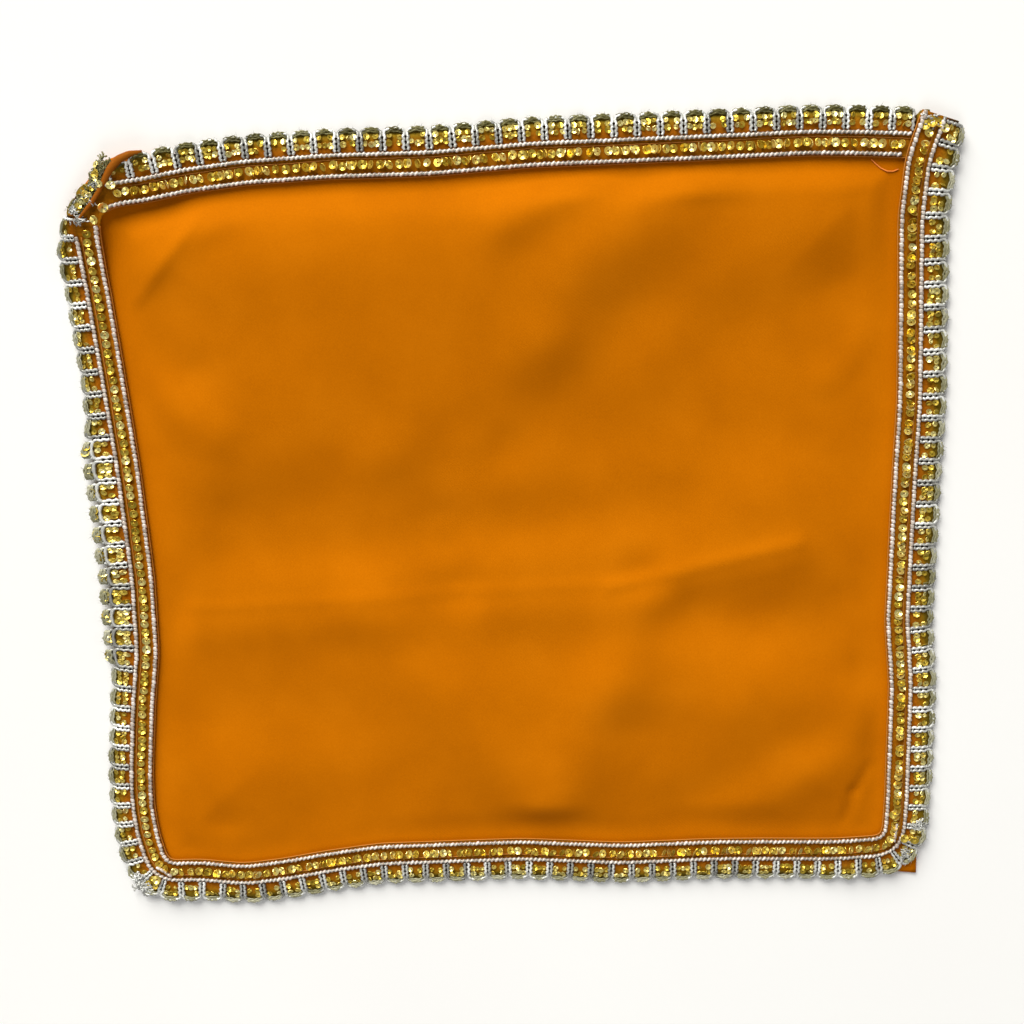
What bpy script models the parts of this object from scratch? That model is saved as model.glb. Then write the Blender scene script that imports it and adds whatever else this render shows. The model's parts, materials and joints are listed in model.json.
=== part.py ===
"""Thali cover: a square of orange satin edged with one length of gold and silver lace.

The cloth lies on a table in soft folds. +Y points to its far edge and +Z up.
The lace starts under its own end at the far right corner, runs left along the far edge,
down the left side, along the near edge, and back up the right side to that corner.
Sizes and places are in millimetres, and MM turns them to Blender's metres.
In lace sizes, "out" is the distance outwards from the inner cord's centre line.
"""
import math

import bmesh
import bpy
import numpy as np

MM = 0.001

# Cloth panel, which lies flat under the lace and as far inside it as the flat hem says
CLOTH_THICKNESS = 1.2
CLOTH_COLUMNS = 29
CLOTH_ROWS = 27
CORNER_GRADING = 1.35
FLAT_HEM = 5.0
SWELL = 2.4
SWELL_RUN = 40.0
FOLD_FADE = 12.0

# Lace tape, which lies on the cloth and bends down past its edge
PIECE_GAP = 0.3
TAPE_THICKNESS = 0.8
TAPE_OUT = (-1.0, 3.4, 7.0, 12.4, 14.6)
BEND_OUT = 12.4
BEND_SLOPE = 0.72
BEND_DEPTH = 1.15

# Trim on the tape, where the loops sit a little higher because they span its bend
CORD_RADIUS = 0.75
INNER_CORD_OUT = 0.0
OUTER_CORD_OUT = 6.9
SEQUIN_OUT = 3.4
SEQUIN_WIDTH = 3.0
SEQUIN_BASE = 0.5
SEQUIN_DOME = 0.5
LOOP_RADIUS = 0.45
LOOP_SEAT = 0.6

# One loop of the scallop cord, as (share of the pitch along, out)
SCALLOP_COUNT = 142
LOOP_SHAPE = (
    (-0.40, 8.7),
    (-0.38, 12.4),
    (-0.17, 15.6),
    (0.17, 15.6),
    (0.38, 12.4),
    (0.40, 8.7),
)

# Where each piece starts along the lace, so that it clears the end that lies over it
TAPE_START = 0.0
INNER_CORD_START = 8.8
SEQUIN_START = 7.2
OUTER_CORD_START = 6.0
SCALLOP_START = 5.0
SCALLOP_STOP_SHORT = 0.6
END_LIFT = 1.15
END_LIFT_FROM = 36.0
END_LIFT_TO = 24.0

# The inner cord's centre line as it lies, side by side in the order of the lace, (x, y)
LACE_FAR = (
    (144.4, 119.9), (121.0, 121.5), (103.1, 122.2), (82.7, 121.9), (12.1, 121.5),
    (-23.7, 119.8), (-57.8, 120.0), (-85.9, 119.0), (-105.8, 117.0), (-120.5, 114.4),
    (-131.5, 113.4),
)
LACE_LEFT = (
    (-136.8, 110.6), (-137.6, 104.5), (-137.2, 91.0), (-135.3, 66.7), (-132.3, 23.7),
    (-130.8, -20.0), (-131.6, -47.6), (-134.8, -67.0), (-138.1, -94.7), (-138.8, -106.8),
    (-138.0, -119.1),
)
LACE_NEAR = (
    (-135.4, -131.6), (-123.2, -131.4), (-106.0, -133.8), (-90.9, -132.3), (-73.6, -129.6),
    (-54.5, -127.4), (-1.4, -127.2), (36.4, -130.1), (74.2, -129.8), (117.7, -131.3),
)
LACE_RIGHT = (
    (135.8, -130.6), (136.6, -116.4), (137.0, -68.7), (135.0, -45.4), (136.3, 7.0),
    (137.4, 35.9), (136.3, 101.8), (138.0, 119.5), (143.3, 134.7),
)

# The cloth's cut edges, corner to corner, (x, y)
CLOTH_FAR = (
    (-141.0, 120.0), (-134.0, 127.5), (-126.0, 130.0), (-105.0, 128.8), (-58.0, 131.0),
    (12.0, 132.8), (83.0, 133.2), (145.5, 130.5),
)
CLOTH_LEFT = (
    (-141.0, 120.0), (-146.5, 112.0), (-149.3, 98.0), (-149.0, 86.0), (-146.2, 67.0),
    (-143.2, 23.0), (-141.8, -20.0), (-142.4, -45.0), (-145.6, -67.0), (-149.0, -95.0),
    (-149.6, -108.0), (-146.0, -141.0),
)
CLOTH_NEAR = (
    (-146.0, -141.0), (-135.0, -143.4), (-108.0, -145.0), (-91.0, -143.2), (-73.0, -140.6),
    (-54.0, -138.6), (0.0, -138.4), (36.0, -141.0), (104.0, -142.0), (122.0, -143.2),
    (148.4, -146.1),
)
CLOTH_RIGHT = (
    (145.5, 130.5), (147.6, 118.0), (147.4, 100.0), (148.4, 36.0), (147.4, 7.0),
    (146.2, -45.0), (148.0, -72.0), (148.0, -112.0), (148.4, -146.1),
)

# Folds of the cloth, (name, from x, from y, to x, to y, half width, rise)
FOLDS = (
    ("pressed crease, left run", -122, -33, 46, -27, 13, 3.4),
    ("pressed crease, right run", 60, -23, 100, -16, 9, 3.0),
    ("upper plateau", -75, 62, 15, 88, 42, 2.6),
    ("long hollow, upper run", 68, 104, -7, 34, 15, -2.4),
    ("long hollow, lower run", -7, 34, -101, 8, 14, -2.2),
    ("short hollow", 31, 114, 3, 100, 8, -1.2),
    ("ridge between the hollows", 48, 112, 19, 82, 9, 1.4),
    ("crease from the far left corner", -98, 108, -130, 84, 6, 1.2),
    ("left hollow", -124, 63, -111, 55, 9, -1.2),
    ("left ridge", -126, 47, -104, 34, 10, 1.6),
    ("right ridge", 113, 44, 127, 57, 10, 1.6),
    ("far right hollow", 123, 82, 123, 106, 10, -1.2),
    ("right swell", 49, -54, 133, -57, 15, 2.0),
    ("fan fold, left", -53, -33, 6, -112, 14, 1.8),
    ("fan fold, right", 45, -35, 14, -112, 14, 1.8),
    ("fan hollow", 37, -73, 74, -82, 12, -1.4),
    ("near right ridge", 67, -122, 112, -95, 11, 2.0),
    ("near left hollow", -131, -95, -114, -116, 9, -1.2),
)

# The ridge where the far left corner is pinched down, and its run each side of the crest
PINCH_FROM = (-128.0, 131.0)
PINCH_TO = (-144.5, 108.0)
PINCH_RISE = 3.0
PINCH_INNER_RUN = 15.0
PINCH_OUTER_RUN = 10.0
PINCH_END_RUN = 9.0

# The lace stands off the cloth a little more round that ridge
STAND_OFF_AT = (-137.0, 119.0)
STAND_OFF_FULL = 18.0
STAND_OFF_NONE = 38.0
TAPE_STAND_OFF = 1.6
TRIM_STAND_OFF = 0.4

# Stretches where the lace doesn't bend down, (name, side, from, to), measured on x along
# the far and near sides and on y along the left and right ones
FLAT_STRETCHES = (
    ("caps laid flat", "left", 34, -53),
    ("cloth showing past the caps", "far", -98, -150),
    ("far left corner", "left", 125, 92),
    ("near left corner", "left", -116, -150),
    ("near left corner", "near", -150, -122),
    ("near right corner", "near", 116, 150),
    ("near right corner", "right", -150, -112),
)

# Stretches where the scallops reach further or less far, (name, side, from, to, extra)
REACH_FROM = 8.5
REACH_STRETCHES = (
    ("pinched corner", "far", -126, -150, -4.6),
    ("pinched corner", "left", 125, 104, -4.6),
    ("short caps", "left", 104, 48, -0.8),
    ("caps laid flat", "left", 34, -53, 3.2),
    ("full caps", "right", -110, 128, 0.9),
    ("rounded end", "right", 131, 150, -1.0),
)

# How finely the lace's line is followed
SAMPLE = 1.0
CORNER_WINDOW = 7
STRETCH_WINDOW = 11
CELL_LINE_OUT = 12.0
STATION_STEP = 9.0
STATION_TURN = math.radians(15.0)

# Colours in sRGB, with roughness and metallic values
FINISHES = {
    "orange satin": ("#C8730A", 0.45, 0.0),
    "orange tape": ("#B5640C", 0.6, 0.0),
    "silver cord": ("#DCCFC6", 0.35, 0.8),
    "gold sequin": ("#D9B83A", 0.25, 0.9),
}


def ease(share):
    """A smooth step from 0 to 1 as the share goes from 0 to 1."""
    held = np.clip(share, 0.0, 1.0)
    return held * held * (3.0 - 2.0 * held)


def clear_scene():
    for old in list(bpy.data.objects):
        bpy.data.objects.remove(old, do_unlink=True)


def linear(hex_colour):
    """The linear RGBA of an sRGB hex colour."""
    channels = [int(hex_colour[i:i + 2], 16) / 255.0 for i in (1, 3, 5)]
    return [c / 12.92 if c <= 0.04045 else ((c + 0.055) / 1.055) ** 2.4 for c in channels] + [1.0]


def finish(name):
    """The Principled material of this name, made once."""
    if name in bpy.data.materials:
        return bpy.data.materials[name]
    colour, roughness, metallic = FINISHES[name]
    material = bpy.data.materials.new(name)
    material.use_nodes = True
    shader = material.node_tree.nodes["Principled BSDF"]
    shader.inputs["Base Color"].default_value = linear(colour)
    shader.inputs["Roughness"].default_value = roughness
    shader.inputs["Metallic"].default_value = metallic
    return material


def distance_along(points):
    """The length of a line of points up to each of them."""
    steps = np.linalg.norm(np.diff(points, axis=0), axis=1)
    return np.concatenate([[0.0], np.cumsum(steps)])


def averaged(values, window):
    """A moving average that keeps both ends where they are."""
    half = window // 2
    head = 2 * values[0] - values[half:0:-1]
    tail = 2 * values[-1] - values[-2:-half - 2:-1]
    padded = np.concatenate([head, values, tail])
    kernel = np.ones(window) / window
    return np.convolve(padded, kernel, "valid")


def spaced(points, step):
    """The same line with points one step apart."""
    along = distance_along(points)
    wanted = np.linspace(0.0, along[-1], round(along[-1] / step) + 1)
    return np.column_stack([np.interp(wanted, along, points[:, k]) for k in (0, 1)])


def lace_route():
    """The lace's inner line, its outward direction and the side that each point is on."""
    sides = (("far", LACE_FAR), ("left", LACE_LEFT), ("near", LACE_NEAR), ("right", LACE_RIGHT))
    knots = np.array([point for _, rows in sides for point in rows], float)
    line = spaced(knots, SAMPLE)
    for _ in range(2):
        line = np.column_stack([averaged(line[:, k], CORNER_WINDOW) for k in (0, 1)])
    heading = np.gradient(line, axis=0)
    outward = np.column_stack([heading[:, 1], -heading[:, 0]])
    outward = outward / np.linalg.norm(outward, axis=1)[:, None]
    turn = np.unwrap(np.arctan2(outward[:, 1], outward[:, 0]))
    quarter = np.round(turn / (math.pi / 2)).astype(int) - 1
    names = np.array([name for name, _ in sides])[np.clip(quarter, 0, 3)]
    cell_line = line + outward * CELL_LINE_OUT
    return {
        "along": distance_along(cell_line),
        "line": line,
        "turn": turn,
        "side": names,
    }


def stretch_weight(route, side, start, stop):
    """1 on the part of a side between two places, 0 elsewhere, per point of the route."""
    place = route["line"][:, 0] if side in ("far", "near") else route["line"][:, 1]
    low, high = min(start, stop), max(start, stop)
    return ((route["side"] == side) & (place >= low) & (place <= high)).astype(float)


def add_stretches(route):
    """How far the lace bends down and how far its loops reach, per point of the route."""
    flat = sum(stretch_weight(route, *row[1:]) for row in FLAT_STRETCHES)
    route["bend"] = averaged(1.0 - np.clip(flat, 0.0, 1.0), STRETCH_WINDOW)
    extra = sum(stretch_weight(route, *row[1:4]) * row[4] for row in REACH_STRETCHES)
    route["extra"] = averaged(extra, STRETCH_WINDOW)
    return route


ROUTE = add_stretches(lace_route())
LACE_LENGTH = ROUTE["along"][-1]
SCALLOP_PITCH = (LACE_LENGTH - SCALLOP_START - SCALLOP_STOP_SHORT) / SCALLOP_COUNT


def read_route(key, along):
    return np.interp(along, ROUTE["along"], ROUTE[key])


def lace_plan(along, out):
    """The plan position of a point of the lace, before centring."""
    turn = read_route("turn", along)
    past_cord = np.maximum(out - REACH_FROM, 0.0) / (LOOP_SHAPE[2][1] - REACH_FROM)
    reached = out + read_route("extra", along) * past_cord
    x = np.interp(along, ROUTE["along"], ROUTE["line"][:, 0]) + np.cos(turn) * reached
    y = np.interp(along, ROUTE["along"], ROUTE["line"][:, 1]) + np.sin(turn) * reached
    return x, y


def inside_lace(x, y):
    """How far a place lies inside the inner cord, less than 0 under the lace."""
    far = np.interp(x, *np.array(LACE_FAR[::-1]).T) - y
    near = y - np.interp(x, *np.array(LACE_NEAR).T)
    left = x - np.interp(y, *np.array(LACE_LEFT[::-1]).T[::-1])
    right = np.interp(y, *np.array(LACE_RIGHT).T[::-1]) - x
    return np.minimum(np.minimum(far, near), np.minimum(left, right))


def pinch_rise(x, y):
    """The height of the pinched ridge at the far left corner."""
    start, stop = np.array(PINCH_FROM), np.array(PINCH_TO)
    length = np.linalg.norm(stop - start)
    crest = (stop - start) / length
    along = (x - start[0]) * crest[0] + (y - start[1]) * crest[1]
    outwards = (x - start[0]) * crest[1] - (y - start[1]) * crest[0]
    run = np.where(outwards > 0, PINCH_OUTER_RUN, PINCH_INNER_RUN)
    across = 1.0 - ease(np.abs(outwards) / run)
    past_end = np.maximum(-along, along - length)
    return PINCH_RISE * across * (1.0 - ease(past_end / PINCH_END_RUN))


def fold_rise(x, y, x0, y0, x1, y1, half_width, rise):
    """One soft ridge or trough along a straight run, fading past both ends."""
    length = math.hypot(x1 - x0, y1 - y0)
    ux, uy = (x1 - x0) / length, (y1 - y0) / length
    along = (x - x0) * ux + (y - y0) * uy
    past_end = np.maximum(np.maximum(-along, along - length), 0.0)
    across = (x - x0) * uy - (y - y0) * ux
    spread = (across * across + past_end * past_end) / (half_width * half_width)
    return rise * np.exp(-spread)


def cloth_rise(x, y):
    """How high the cloth's underside lies over the table."""
    inside = inside_lace(x, y) - FLAT_HEM
    height = SWELL * ease(inside / SWELL_RUN)
    fade = ease(inside / FOLD_FADE)
    for _, *fold in FOLDS:
        height = height + fade * fold_rise(x, y, *fold)
    return np.maximum(height, 0.0) + pinch_rise(x, y)


def lace_height(along, out, over):
    """The height of a point of the lace that stands a given height over the tape's top."""
    x, y = lace_plan(along, out)
    reach = np.hypot(x - STAND_OFF_AT[0], y - STAND_OFF_AT[1])
    near_ridge = 1.0 - ease((reach - STAND_OFF_FULL) / (STAND_OFF_NONE - STAND_OFF_FULL))
    seat = CLOTH_THICKNESS + PIECE_GAP + TAPE_THICKNESS + pinch_rise(x, y)
    seat = seat + near_ridge * TAPE_STAND_OFF
    if over > 0.0:
        seat = seat + near_ridge * TRIM_STAND_OFF
    bend = np.minimum(np.maximum(out - BEND_OUT, 0.0) * BEND_SLOPE, BEND_DEPTH)
    from_end = LACE_LENGTH - along
    lift = END_LIFT * (1.0 - ease((from_end - END_LIFT_TO) / (END_LIFT_FROM - END_LIFT_TO)))
    return seat - bend * read_route("bend", along) + lift + over


def loop_route():
    """The scallop cord's points, (along, out), loop after loop."""
    points = []
    for loop in range(SCALLOP_COUNT):
        middle = SCALLOP_START + (loop + 0.5) * SCALLOP_PITCH
        for share, out in LOOP_SHAPE:
            points.append((middle + share * SCALLOP_PITCH, out))
    return np.array(points)


def plan_centre():
    """The middle of the part in plan, which becomes the origin."""
    x, y = lace_plan(*loop_route().T)
    return (x.min() + x.max()) / 2.0, (y.min() + y.max()) / 2.0


CENTRE = plan_centre()


def placed(x, y, z):
    """Points in metres about the part's origin."""
    return np.column_stack([np.ravel(x) - CENTRE[0], np.ravel(y) - CENTRE[1], np.ravel(z)]) * MM


def lace_points(along, out, over):
    x, y = lace_plan(along, out)
    return placed(x, y, lace_height(along, out, over))


def stations(start):
    """Places along the lace from a start, one step apart, and closer where it turns."""
    chosen = [0.0]
    last_turn = ROUTE["turn"][0]
    for along, turn in zip(ROUTE["along"], ROUTE["turn"]):
        if along - chosen[-1] >= STATION_STEP or abs(turn - last_turn) >= STATION_TURN:
            chosen.append(along)
            last_turn = turn
    chosen[-1] = LACE_LENGTH
    return np.array([start] + [along for along in chosen if along > start + SAMPLE])


def add_object(name, data, finish_name, collection):
    item = bpy.data.objects.new(name, data)
    item.data.materials.append(finish(finish_name))
    collection.objects.link(item)
    return item


def sheet(name, points, columns, thickness, finish_name, collection):
    """A sheet whose top is a grid laid on the points, in rows of the given number of columns."""
    shape = bmesh.new()
    rows = len(points) // columns
    bmesh.ops.create_grid(shape, x_segments=columns - 1, y_segments=rows - 1, size=1.0)
    for corner, point in zip(shape.verts, points):
        corner.co = point
    data = bpy.data.meshes.new(name)
    shape.to_mesh(data)
    shape.free()
    data.shade_smooth()
    item = add_object(name, data, finish_name, collection)
    wall = item.modifiers.new("Thickness", "SOLIDIFY")
    wall.thickness = thickness * MM
    wall.offset = -1.0
    return item


def cord(name, points, radius, sides, finish_name, collection):
    """A round cord through a line of points, closed at both ends."""
    data = bpy.data.curves.new(name, "CURVE")
    data.dimensions = "3D"
    data.twist_mode = "Z_UP"
    data.bevel_depth = radius * MM
    data.bevel_resolution = sides // 2 - 2
    data.use_fill_caps = True
    spline = data.splines.new("POLY")
    spline.points.add(len(points) - 1)
    for point, place in zip(spline.points, points):
        point.co = (*place, 1.0)
    return add_object(name, data, finish_name, collection)


def graded(count):
    """Shares from 0 to 1 that lie closer together near 0."""
    return (np.arange(count + 1) / count) ** CORNER_GRADING


def edge_points(rows, shares):
    points = np.array(rows, float)
    along = distance_along(points)
    wanted = shares * along[-1]
    return np.column_stack([np.interp(wanted, along, points[:, k]) for k in (0, 1)])


def make_cloth_panel(collection):
    """The satin square, spread between its four cut edges and raised into its folds."""
    across, down = graded(CLOTH_COLUMNS), graded(CLOTH_ROWS)[::-1]
    far, near = edge_points(CLOTH_FAR, across), edge_points(CLOTH_NEAR, across)
    left, right = edge_points(CLOTH_LEFT, down), edge_points(CLOTH_RIGHT, down)
    u, v = across[None, :, None], down[:, None, None]
    between_sides = left[:, None] * (1 - u) + right[:, None] * u
    between_ends = far[None] * (1 - v) + near[None] * v
    corners = (far[0] * (1 - u) + far[-1] * u) * (1 - v) + (near[0] * (1 - u) + near[-1] * u) * v
    plan = between_sides + between_ends - corners
    x, y = plan[..., 0], plan[..., 1]
    points = placed(x, y, cloth_rise(x, y) + CLOTH_THICKNESS)
    sheet("cloth_panel", points, CLOTH_COLUMNS + 1, CLOTH_THICKNESS, "orange satin", collection)


def make_lace_tape(collection):
    """The lace's ground, one band round the cloth, wider where its caps lie flat."""
    along = stations(TAPE_START)[:, None]
    out = np.array(TAPE_OUT)[None, :] + 0 * along
    points = lace_points(along + 0 * out, out, 0.0)
    sheet("lace_tape", points, len(TAPE_OUT), TAPE_THICKNESS, "orange tape", collection)


def make_cord_line(name, out, start, collection):
    along = stations(start)
    points = lace_points(along, out + 0 * along, PIECE_GAP + CORD_RADIUS)
    cord(name, points, CORD_RADIUS, 6, "silver cord", collection)


def make_sequin_row(collection):
    """The row of sequins as one low ridged band, about as high as the sequins stand."""
    along = stations(SEQUIN_START)[:, None]
    half = SEQUIN_WIDTH / 2.0
    out = SEQUIN_OUT + np.array((-half, 0.0, half))[None, :] + 0 * along
    points = lace_points(along + 0 * out, out, PIECE_GAP + SEQUIN_BASE)
    points[1::3, 2] += SEQUIN_DOME * MM
    sheet("sequin_row", points, 3, SEQUIN_BASE, "gold sequin", collection)


def make_scallop_cord(collection):
    """The silver cord that runs in loops along the outer edge."""
    along, out = loop_route().T
    points = lace_points(along, out, LOOP_SEAT + LOOP_RADIUS)
    cord("scallop_cord", points, LOOP_RADIUS, 4, "silver cord", collection)


def main():
    clear_scene()
    collection = bpy.data.collections.new("thali cover")
    bpy.context.scene.collection.children.link(collection)
    make_cloth_panel(collection)
    make_lace_tape(collection)
    make_cord_line("inner_cord", INNER_CORD_OUT, INNER_CORD_START, collection)
    make_cord_line("outer_cord", OUTER_CORD_OUT, OUTER_CORD_START, collection)
    make_sequin_row(collection)
    make_scallop_cord(collection)


main()
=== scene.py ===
"""Looks of a thali cover: orange satin in soft folds, edged with gold and silver lace.

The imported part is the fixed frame. Plan places are in millimetres before centring, as in
the part's own source. The lace also has its own flat space in millimetres, where x runs
along it, y is the distance out from the inner cord and z the height over its ground.
Geometry Nodes repeat the trim in that flat space. The result is baked to a mesh, and its
corners are then laid where the lace runs round the cloth.
"""
import json
import math

import bmesh
import bpy
import numpy as np
from bpy.props import FloatProperty, PointerProperty
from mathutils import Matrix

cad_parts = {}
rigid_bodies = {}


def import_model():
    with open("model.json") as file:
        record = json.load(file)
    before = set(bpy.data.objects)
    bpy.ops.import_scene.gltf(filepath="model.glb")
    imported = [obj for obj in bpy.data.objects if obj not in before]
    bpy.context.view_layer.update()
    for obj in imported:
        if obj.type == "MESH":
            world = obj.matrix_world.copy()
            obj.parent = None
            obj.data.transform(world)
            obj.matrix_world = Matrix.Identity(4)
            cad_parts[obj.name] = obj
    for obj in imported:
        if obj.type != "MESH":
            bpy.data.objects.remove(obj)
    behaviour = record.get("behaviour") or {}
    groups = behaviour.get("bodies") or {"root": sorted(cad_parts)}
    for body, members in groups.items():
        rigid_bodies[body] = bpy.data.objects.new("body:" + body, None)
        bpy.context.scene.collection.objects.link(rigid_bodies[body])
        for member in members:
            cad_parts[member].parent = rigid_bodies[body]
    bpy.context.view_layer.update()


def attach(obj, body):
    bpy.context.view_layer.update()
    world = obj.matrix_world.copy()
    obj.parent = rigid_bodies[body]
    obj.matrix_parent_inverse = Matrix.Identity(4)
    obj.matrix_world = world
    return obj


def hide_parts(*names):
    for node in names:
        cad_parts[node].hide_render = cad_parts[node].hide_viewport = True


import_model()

bl_info = {
    "name": "Thali cover",
    "version": (1, 0, 0),
    "blender": (4, 5, 0),
    "location": "3D View > Sidebar > Thali cover",
    "description": "Makes the satin, the lace and the stage of a thali cover",
    "category": "Mesh",
}

MM = 0.001

# Cloth panel, as the part has it
CLOTH_THICKNESS = 1.2
FLAT_HEM = 5.0
SWELL = 2.4
SWELL_RUN = 40.0
FOLD_FADE = 12.0

# Heights and the bend of the lace, as the part has them
PIECE_GAP = 0.3
TAPE_THICKNESS = 0.8
BEND_OUT = 12.4
BEND_SLOPE = 0.72
BEND_DEPTH = 1.15
CORD_RADIUS = 0.75
INNER_CORD_OUT = 0.0
OUTER_CORD_OUT = 6.9
SEQUIN_OUT = 3.4
SCALLOP_COUNT = 142
LOOP_END_OUT = 15.6
LOOP_TIP_SHARE = 0.17
SCALLOP_START = 5.0
SCALLOP_STOP_SHORT = 0.6
END_LIFT = 1.15
END_LIFT_FROM = 36.0
END_LIFT_TO = 24.0

# The inner cord's centre line, side by side in the order of the lace, (x, y)
LACE_FAR = (
    (144.4, 119.9), (121.0, 121.5), (103.1, 122.2), (82.7, 121.9), (12.1, 121.5),
    (-23.7, 119.8), (-57.8, 120.0), (-85.9, 119.0), (-105.8, 117.0), (-120.5, 114.4),
    (-131.5, 113.4),
)
LACE_LEFT = (
    (-136.8, 110.6), (-137.6, 104.5), (-137.2, 91.0), (-135.3, 66.7), (-132.3, 23.7),
    (-130.8, -20.0), (-131.6, -47.6), (-134.8, -67.0), (-138.1, -94.7), (-138.8, -106.8),
    (-138.0, -119.1),
)
LACE_NEAR = (
    (-135.4, -131.6), (-123.2, -131.4), (-106.0, -133.8), (-90.9, -132.3), (-73.6, -129.6),
    (-54.5, -127.4), (-1.4, -127.2), (36.4, -130.1), (74.2, -129.8), (117.7, -131.3),
)
LACE_RIGHT = (
    (135.8, -130.6), (136.6, -116.4), (137.0, -68.7), (135.0, -45.4), (136.3, 7.0),
    (137.4, 35.9), (136.3, 101.8), (138.0, 119.5), (143.3, 134.7),
)

# The cloth's cut edges, corner to corner, (x, y)
CLOTH_FAR = (
    (-141.0, 120.0), (-134.0, 127.5), (-126.0, 130.0), (-105.0, 128.8), (-58.0, 131.0),
    (12.0, 132.8), (83.0, 133.2), (145.5, 130.5),
)
CLOTH_LEFT = (
    (-141.0, 120.0), (-146.5, 112.0), (-149.3, 98.0), (-149.0, 86.0), (-146.2, 67.0),
    (-143.2, 23.0), (-141.8, -20.0), (-142.4, -45.0), (-145.6, -67.0), (-149.0, -95.0),
    (-149.6, -108.0), (-146.0, -141.0),
)
CLOTH_NEAR = (
    (-146.0, -141.0), (-135.0, -143.4), (-108.0, -145.0), (-91.0, -143.2), (-73.0, -140.6),
    (-54.0, -138.6), (0.0, -138.4), (36.0, -141.0), (104.0, -142.0), (122.0, -143.2),
    (148.4, -146.1),
)
CLOTH_RIGHT = (
    (145.5, 130.5), (147.6, 118.0), (147.4, 100.0), (148.4, 36.0), (147.4, 7.0),
    (146.2, -45.0), (148.0, -72.0), (148.0, -112.0), (148.4, -146.1),
)

# Folds of the cloth, (name, from x, from y, to x, to y, half width, rise)
FOLDS = (
    ("pressed crease, left run", -122, -33, 46, -27, 13, 3.4),
    ("pressed crease, right run", 60, -23, 100, -16, 9, 3.0),
    ("upper plateau", -75, 62, 15, 88, 42, 2.6),
    ("long hollow, upper run", 68, 104, -7, 34, 15, -2.4),
    ("long hollow, lower run", -7, 34, -101, 8, 14, -2.2),
    ("short hollow", 31, 114, 3, 100, 8, -1.2),
    ("ridge between the hollows", 48, 112, 19, 82, 9, 1.4),
    ("crease from the far left corner", -98, 108, -130, 84, 6, 1.2),
    ("left hollow", -124, 63, -111, 55, 9, -1.2),
    ("left ridge", -126, 47, -104, 34, 10, 1.6),
    ("right ridge", 113, 44, 127, 57, 10, 1.6),
    ("far right hollow", 123, 82, 123, 106, 10, -1.2),
    ("right swell", 49, -54, 133, -57, 15, 2.0),
    ("fan fold, left", -53, -33, 6, -112, 14, 1.8),
    ("fan fold, right", 45, -35, 14, -112, 14, 1.8),
    ("fan hollow", 37, -73, 74, -82, 12, -1.4),
    ("near right ridge", 67, -122, 112, -95, 11, 2.0),
    ("near left hollow", -131, -95, -114, -116, 9, -1.2),
)

# Softer slopes and sharper creases that the satin adds to the part's folds. The tilt is how
# much higher one side is, (name, from x, from y, to x, to y, half width, rise, tilt)
CREASES = (
    ("dark band, far end", 68, 104, 20, 58, 16, 1.8, 2.2),
    ("dark band, middle", 20, 58, -7, 34, 14, 2.0, 1.0),
    ("dark band, near end", -7, 34, -40, 18, 14, 0.8, 1.7),
    ("dark band, left run", -40, 18, -101, 8, 14, 0.9, 1.8),
    ("ridge beside the short hollow", 48, 112, 19, 82, 9, -0.9, -0.1),
    ("short hollow's side", 31, 114, 3, 100, 9, 2.8, 1.8),
    ("pressed crease's side, left", -118, -31, -20, -27, 10, -2.1, -0.3),
    ("pressed crease's side, middle", -20, -27, 46, -24, 10, -2.4, -0.3),
    ("pressed crease's side, right", 46, -24, 100, -14, 9, -1.8, -0.2),
    ("light band over the crease, left", -100, -12, -30, -8, 14, -1.9, 0.0),
    ("light band over the crease, right", -20, -6, 60, 0, 14, -2.2, 0.5),
    ("dark band under the crease", 56, -42, 120, -42, 12, -1.7, -0.1),
    ("fan fold's side, left", -53, -33, 6, -112, 14, 0.5, 0.1),
    ("fan fold's side, right", 45, -35, 14, -112, 14, -0.1, 0.1),
    ("near hollow's side", 37, -73, 74, -82, 14, 3.0, -1.8),
    ("near right ridge's side", 67, -122, 112, -95, 12, -1.1, 1.7),
    ("right swell's side", 90, -60, 125, -70, 16, -0.5, 4.0),
    ("right side, far", 80, 60, 120, 20, 20, -1.9, 0.5),
    ("far right", 100, 100, 125, 60, 20, -0.9, -1.9),
    ("far left", -110, 90, -60, 95, 22, 0.8, 0.2),
    ("left middle", -90, 40, -40, 45, 20, 0.4, 0.0),
    ("left side", -115, 60, -110, 0, 18, 1.9, 0.4),
    ("middle right", 30, 20, 90, 20, 20, -1.9, 1.6),
    ("near left", -110, -80, -80, -110, 18, -1.5, 0.8),
    ("near middle", -30, -70, 30, -70, 18, 1.4, -0.3),
    ("near left ridge", -90, -70, -50, -100, 18, -1.4, 0.8),
    ("far edge", -115, 92, 115, 96, 24, 3.0, -2.7),
    ("near edge", -118, -98, 118, -98, 24, 1.9, 0.4),
    ("middle, left", -90, -50, -20, -50, 14, -0.1, 0.7),
    ("far middle", -60, 60, 0, 66, 16, 0.5, -0.5),
    ("far middle, right", 60, 45, 110, 70, 14, -0.7, -0.1),
    ("bend of the dark band", -12, 26, -2, 32, 9, 1.4, -0.2),
    ("sharp line of the pressed crease, left", -118, -31, -20, -28, 2.2, 0.30, 0.0),
    ("sharp line of the pressed crease, middle", -20, -28, 46, -26, 2.0, 0.28, 0.0),
    ("sharp line of the pressed crease, right", 34, -28, 102, -14, 2.4, 0.50, 0.0),
    ("crease from the far left corner", -101, 110, -127, 80, 1.6, 0.60, 0.0),
    ("near right crease, upper", 130, -101, 124, -111, 1.8, -0.85, 0.0),
    ("near right crease, lower", 124, -111, 121, -124, 1.8, -0.85, 0.0),
)

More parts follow.
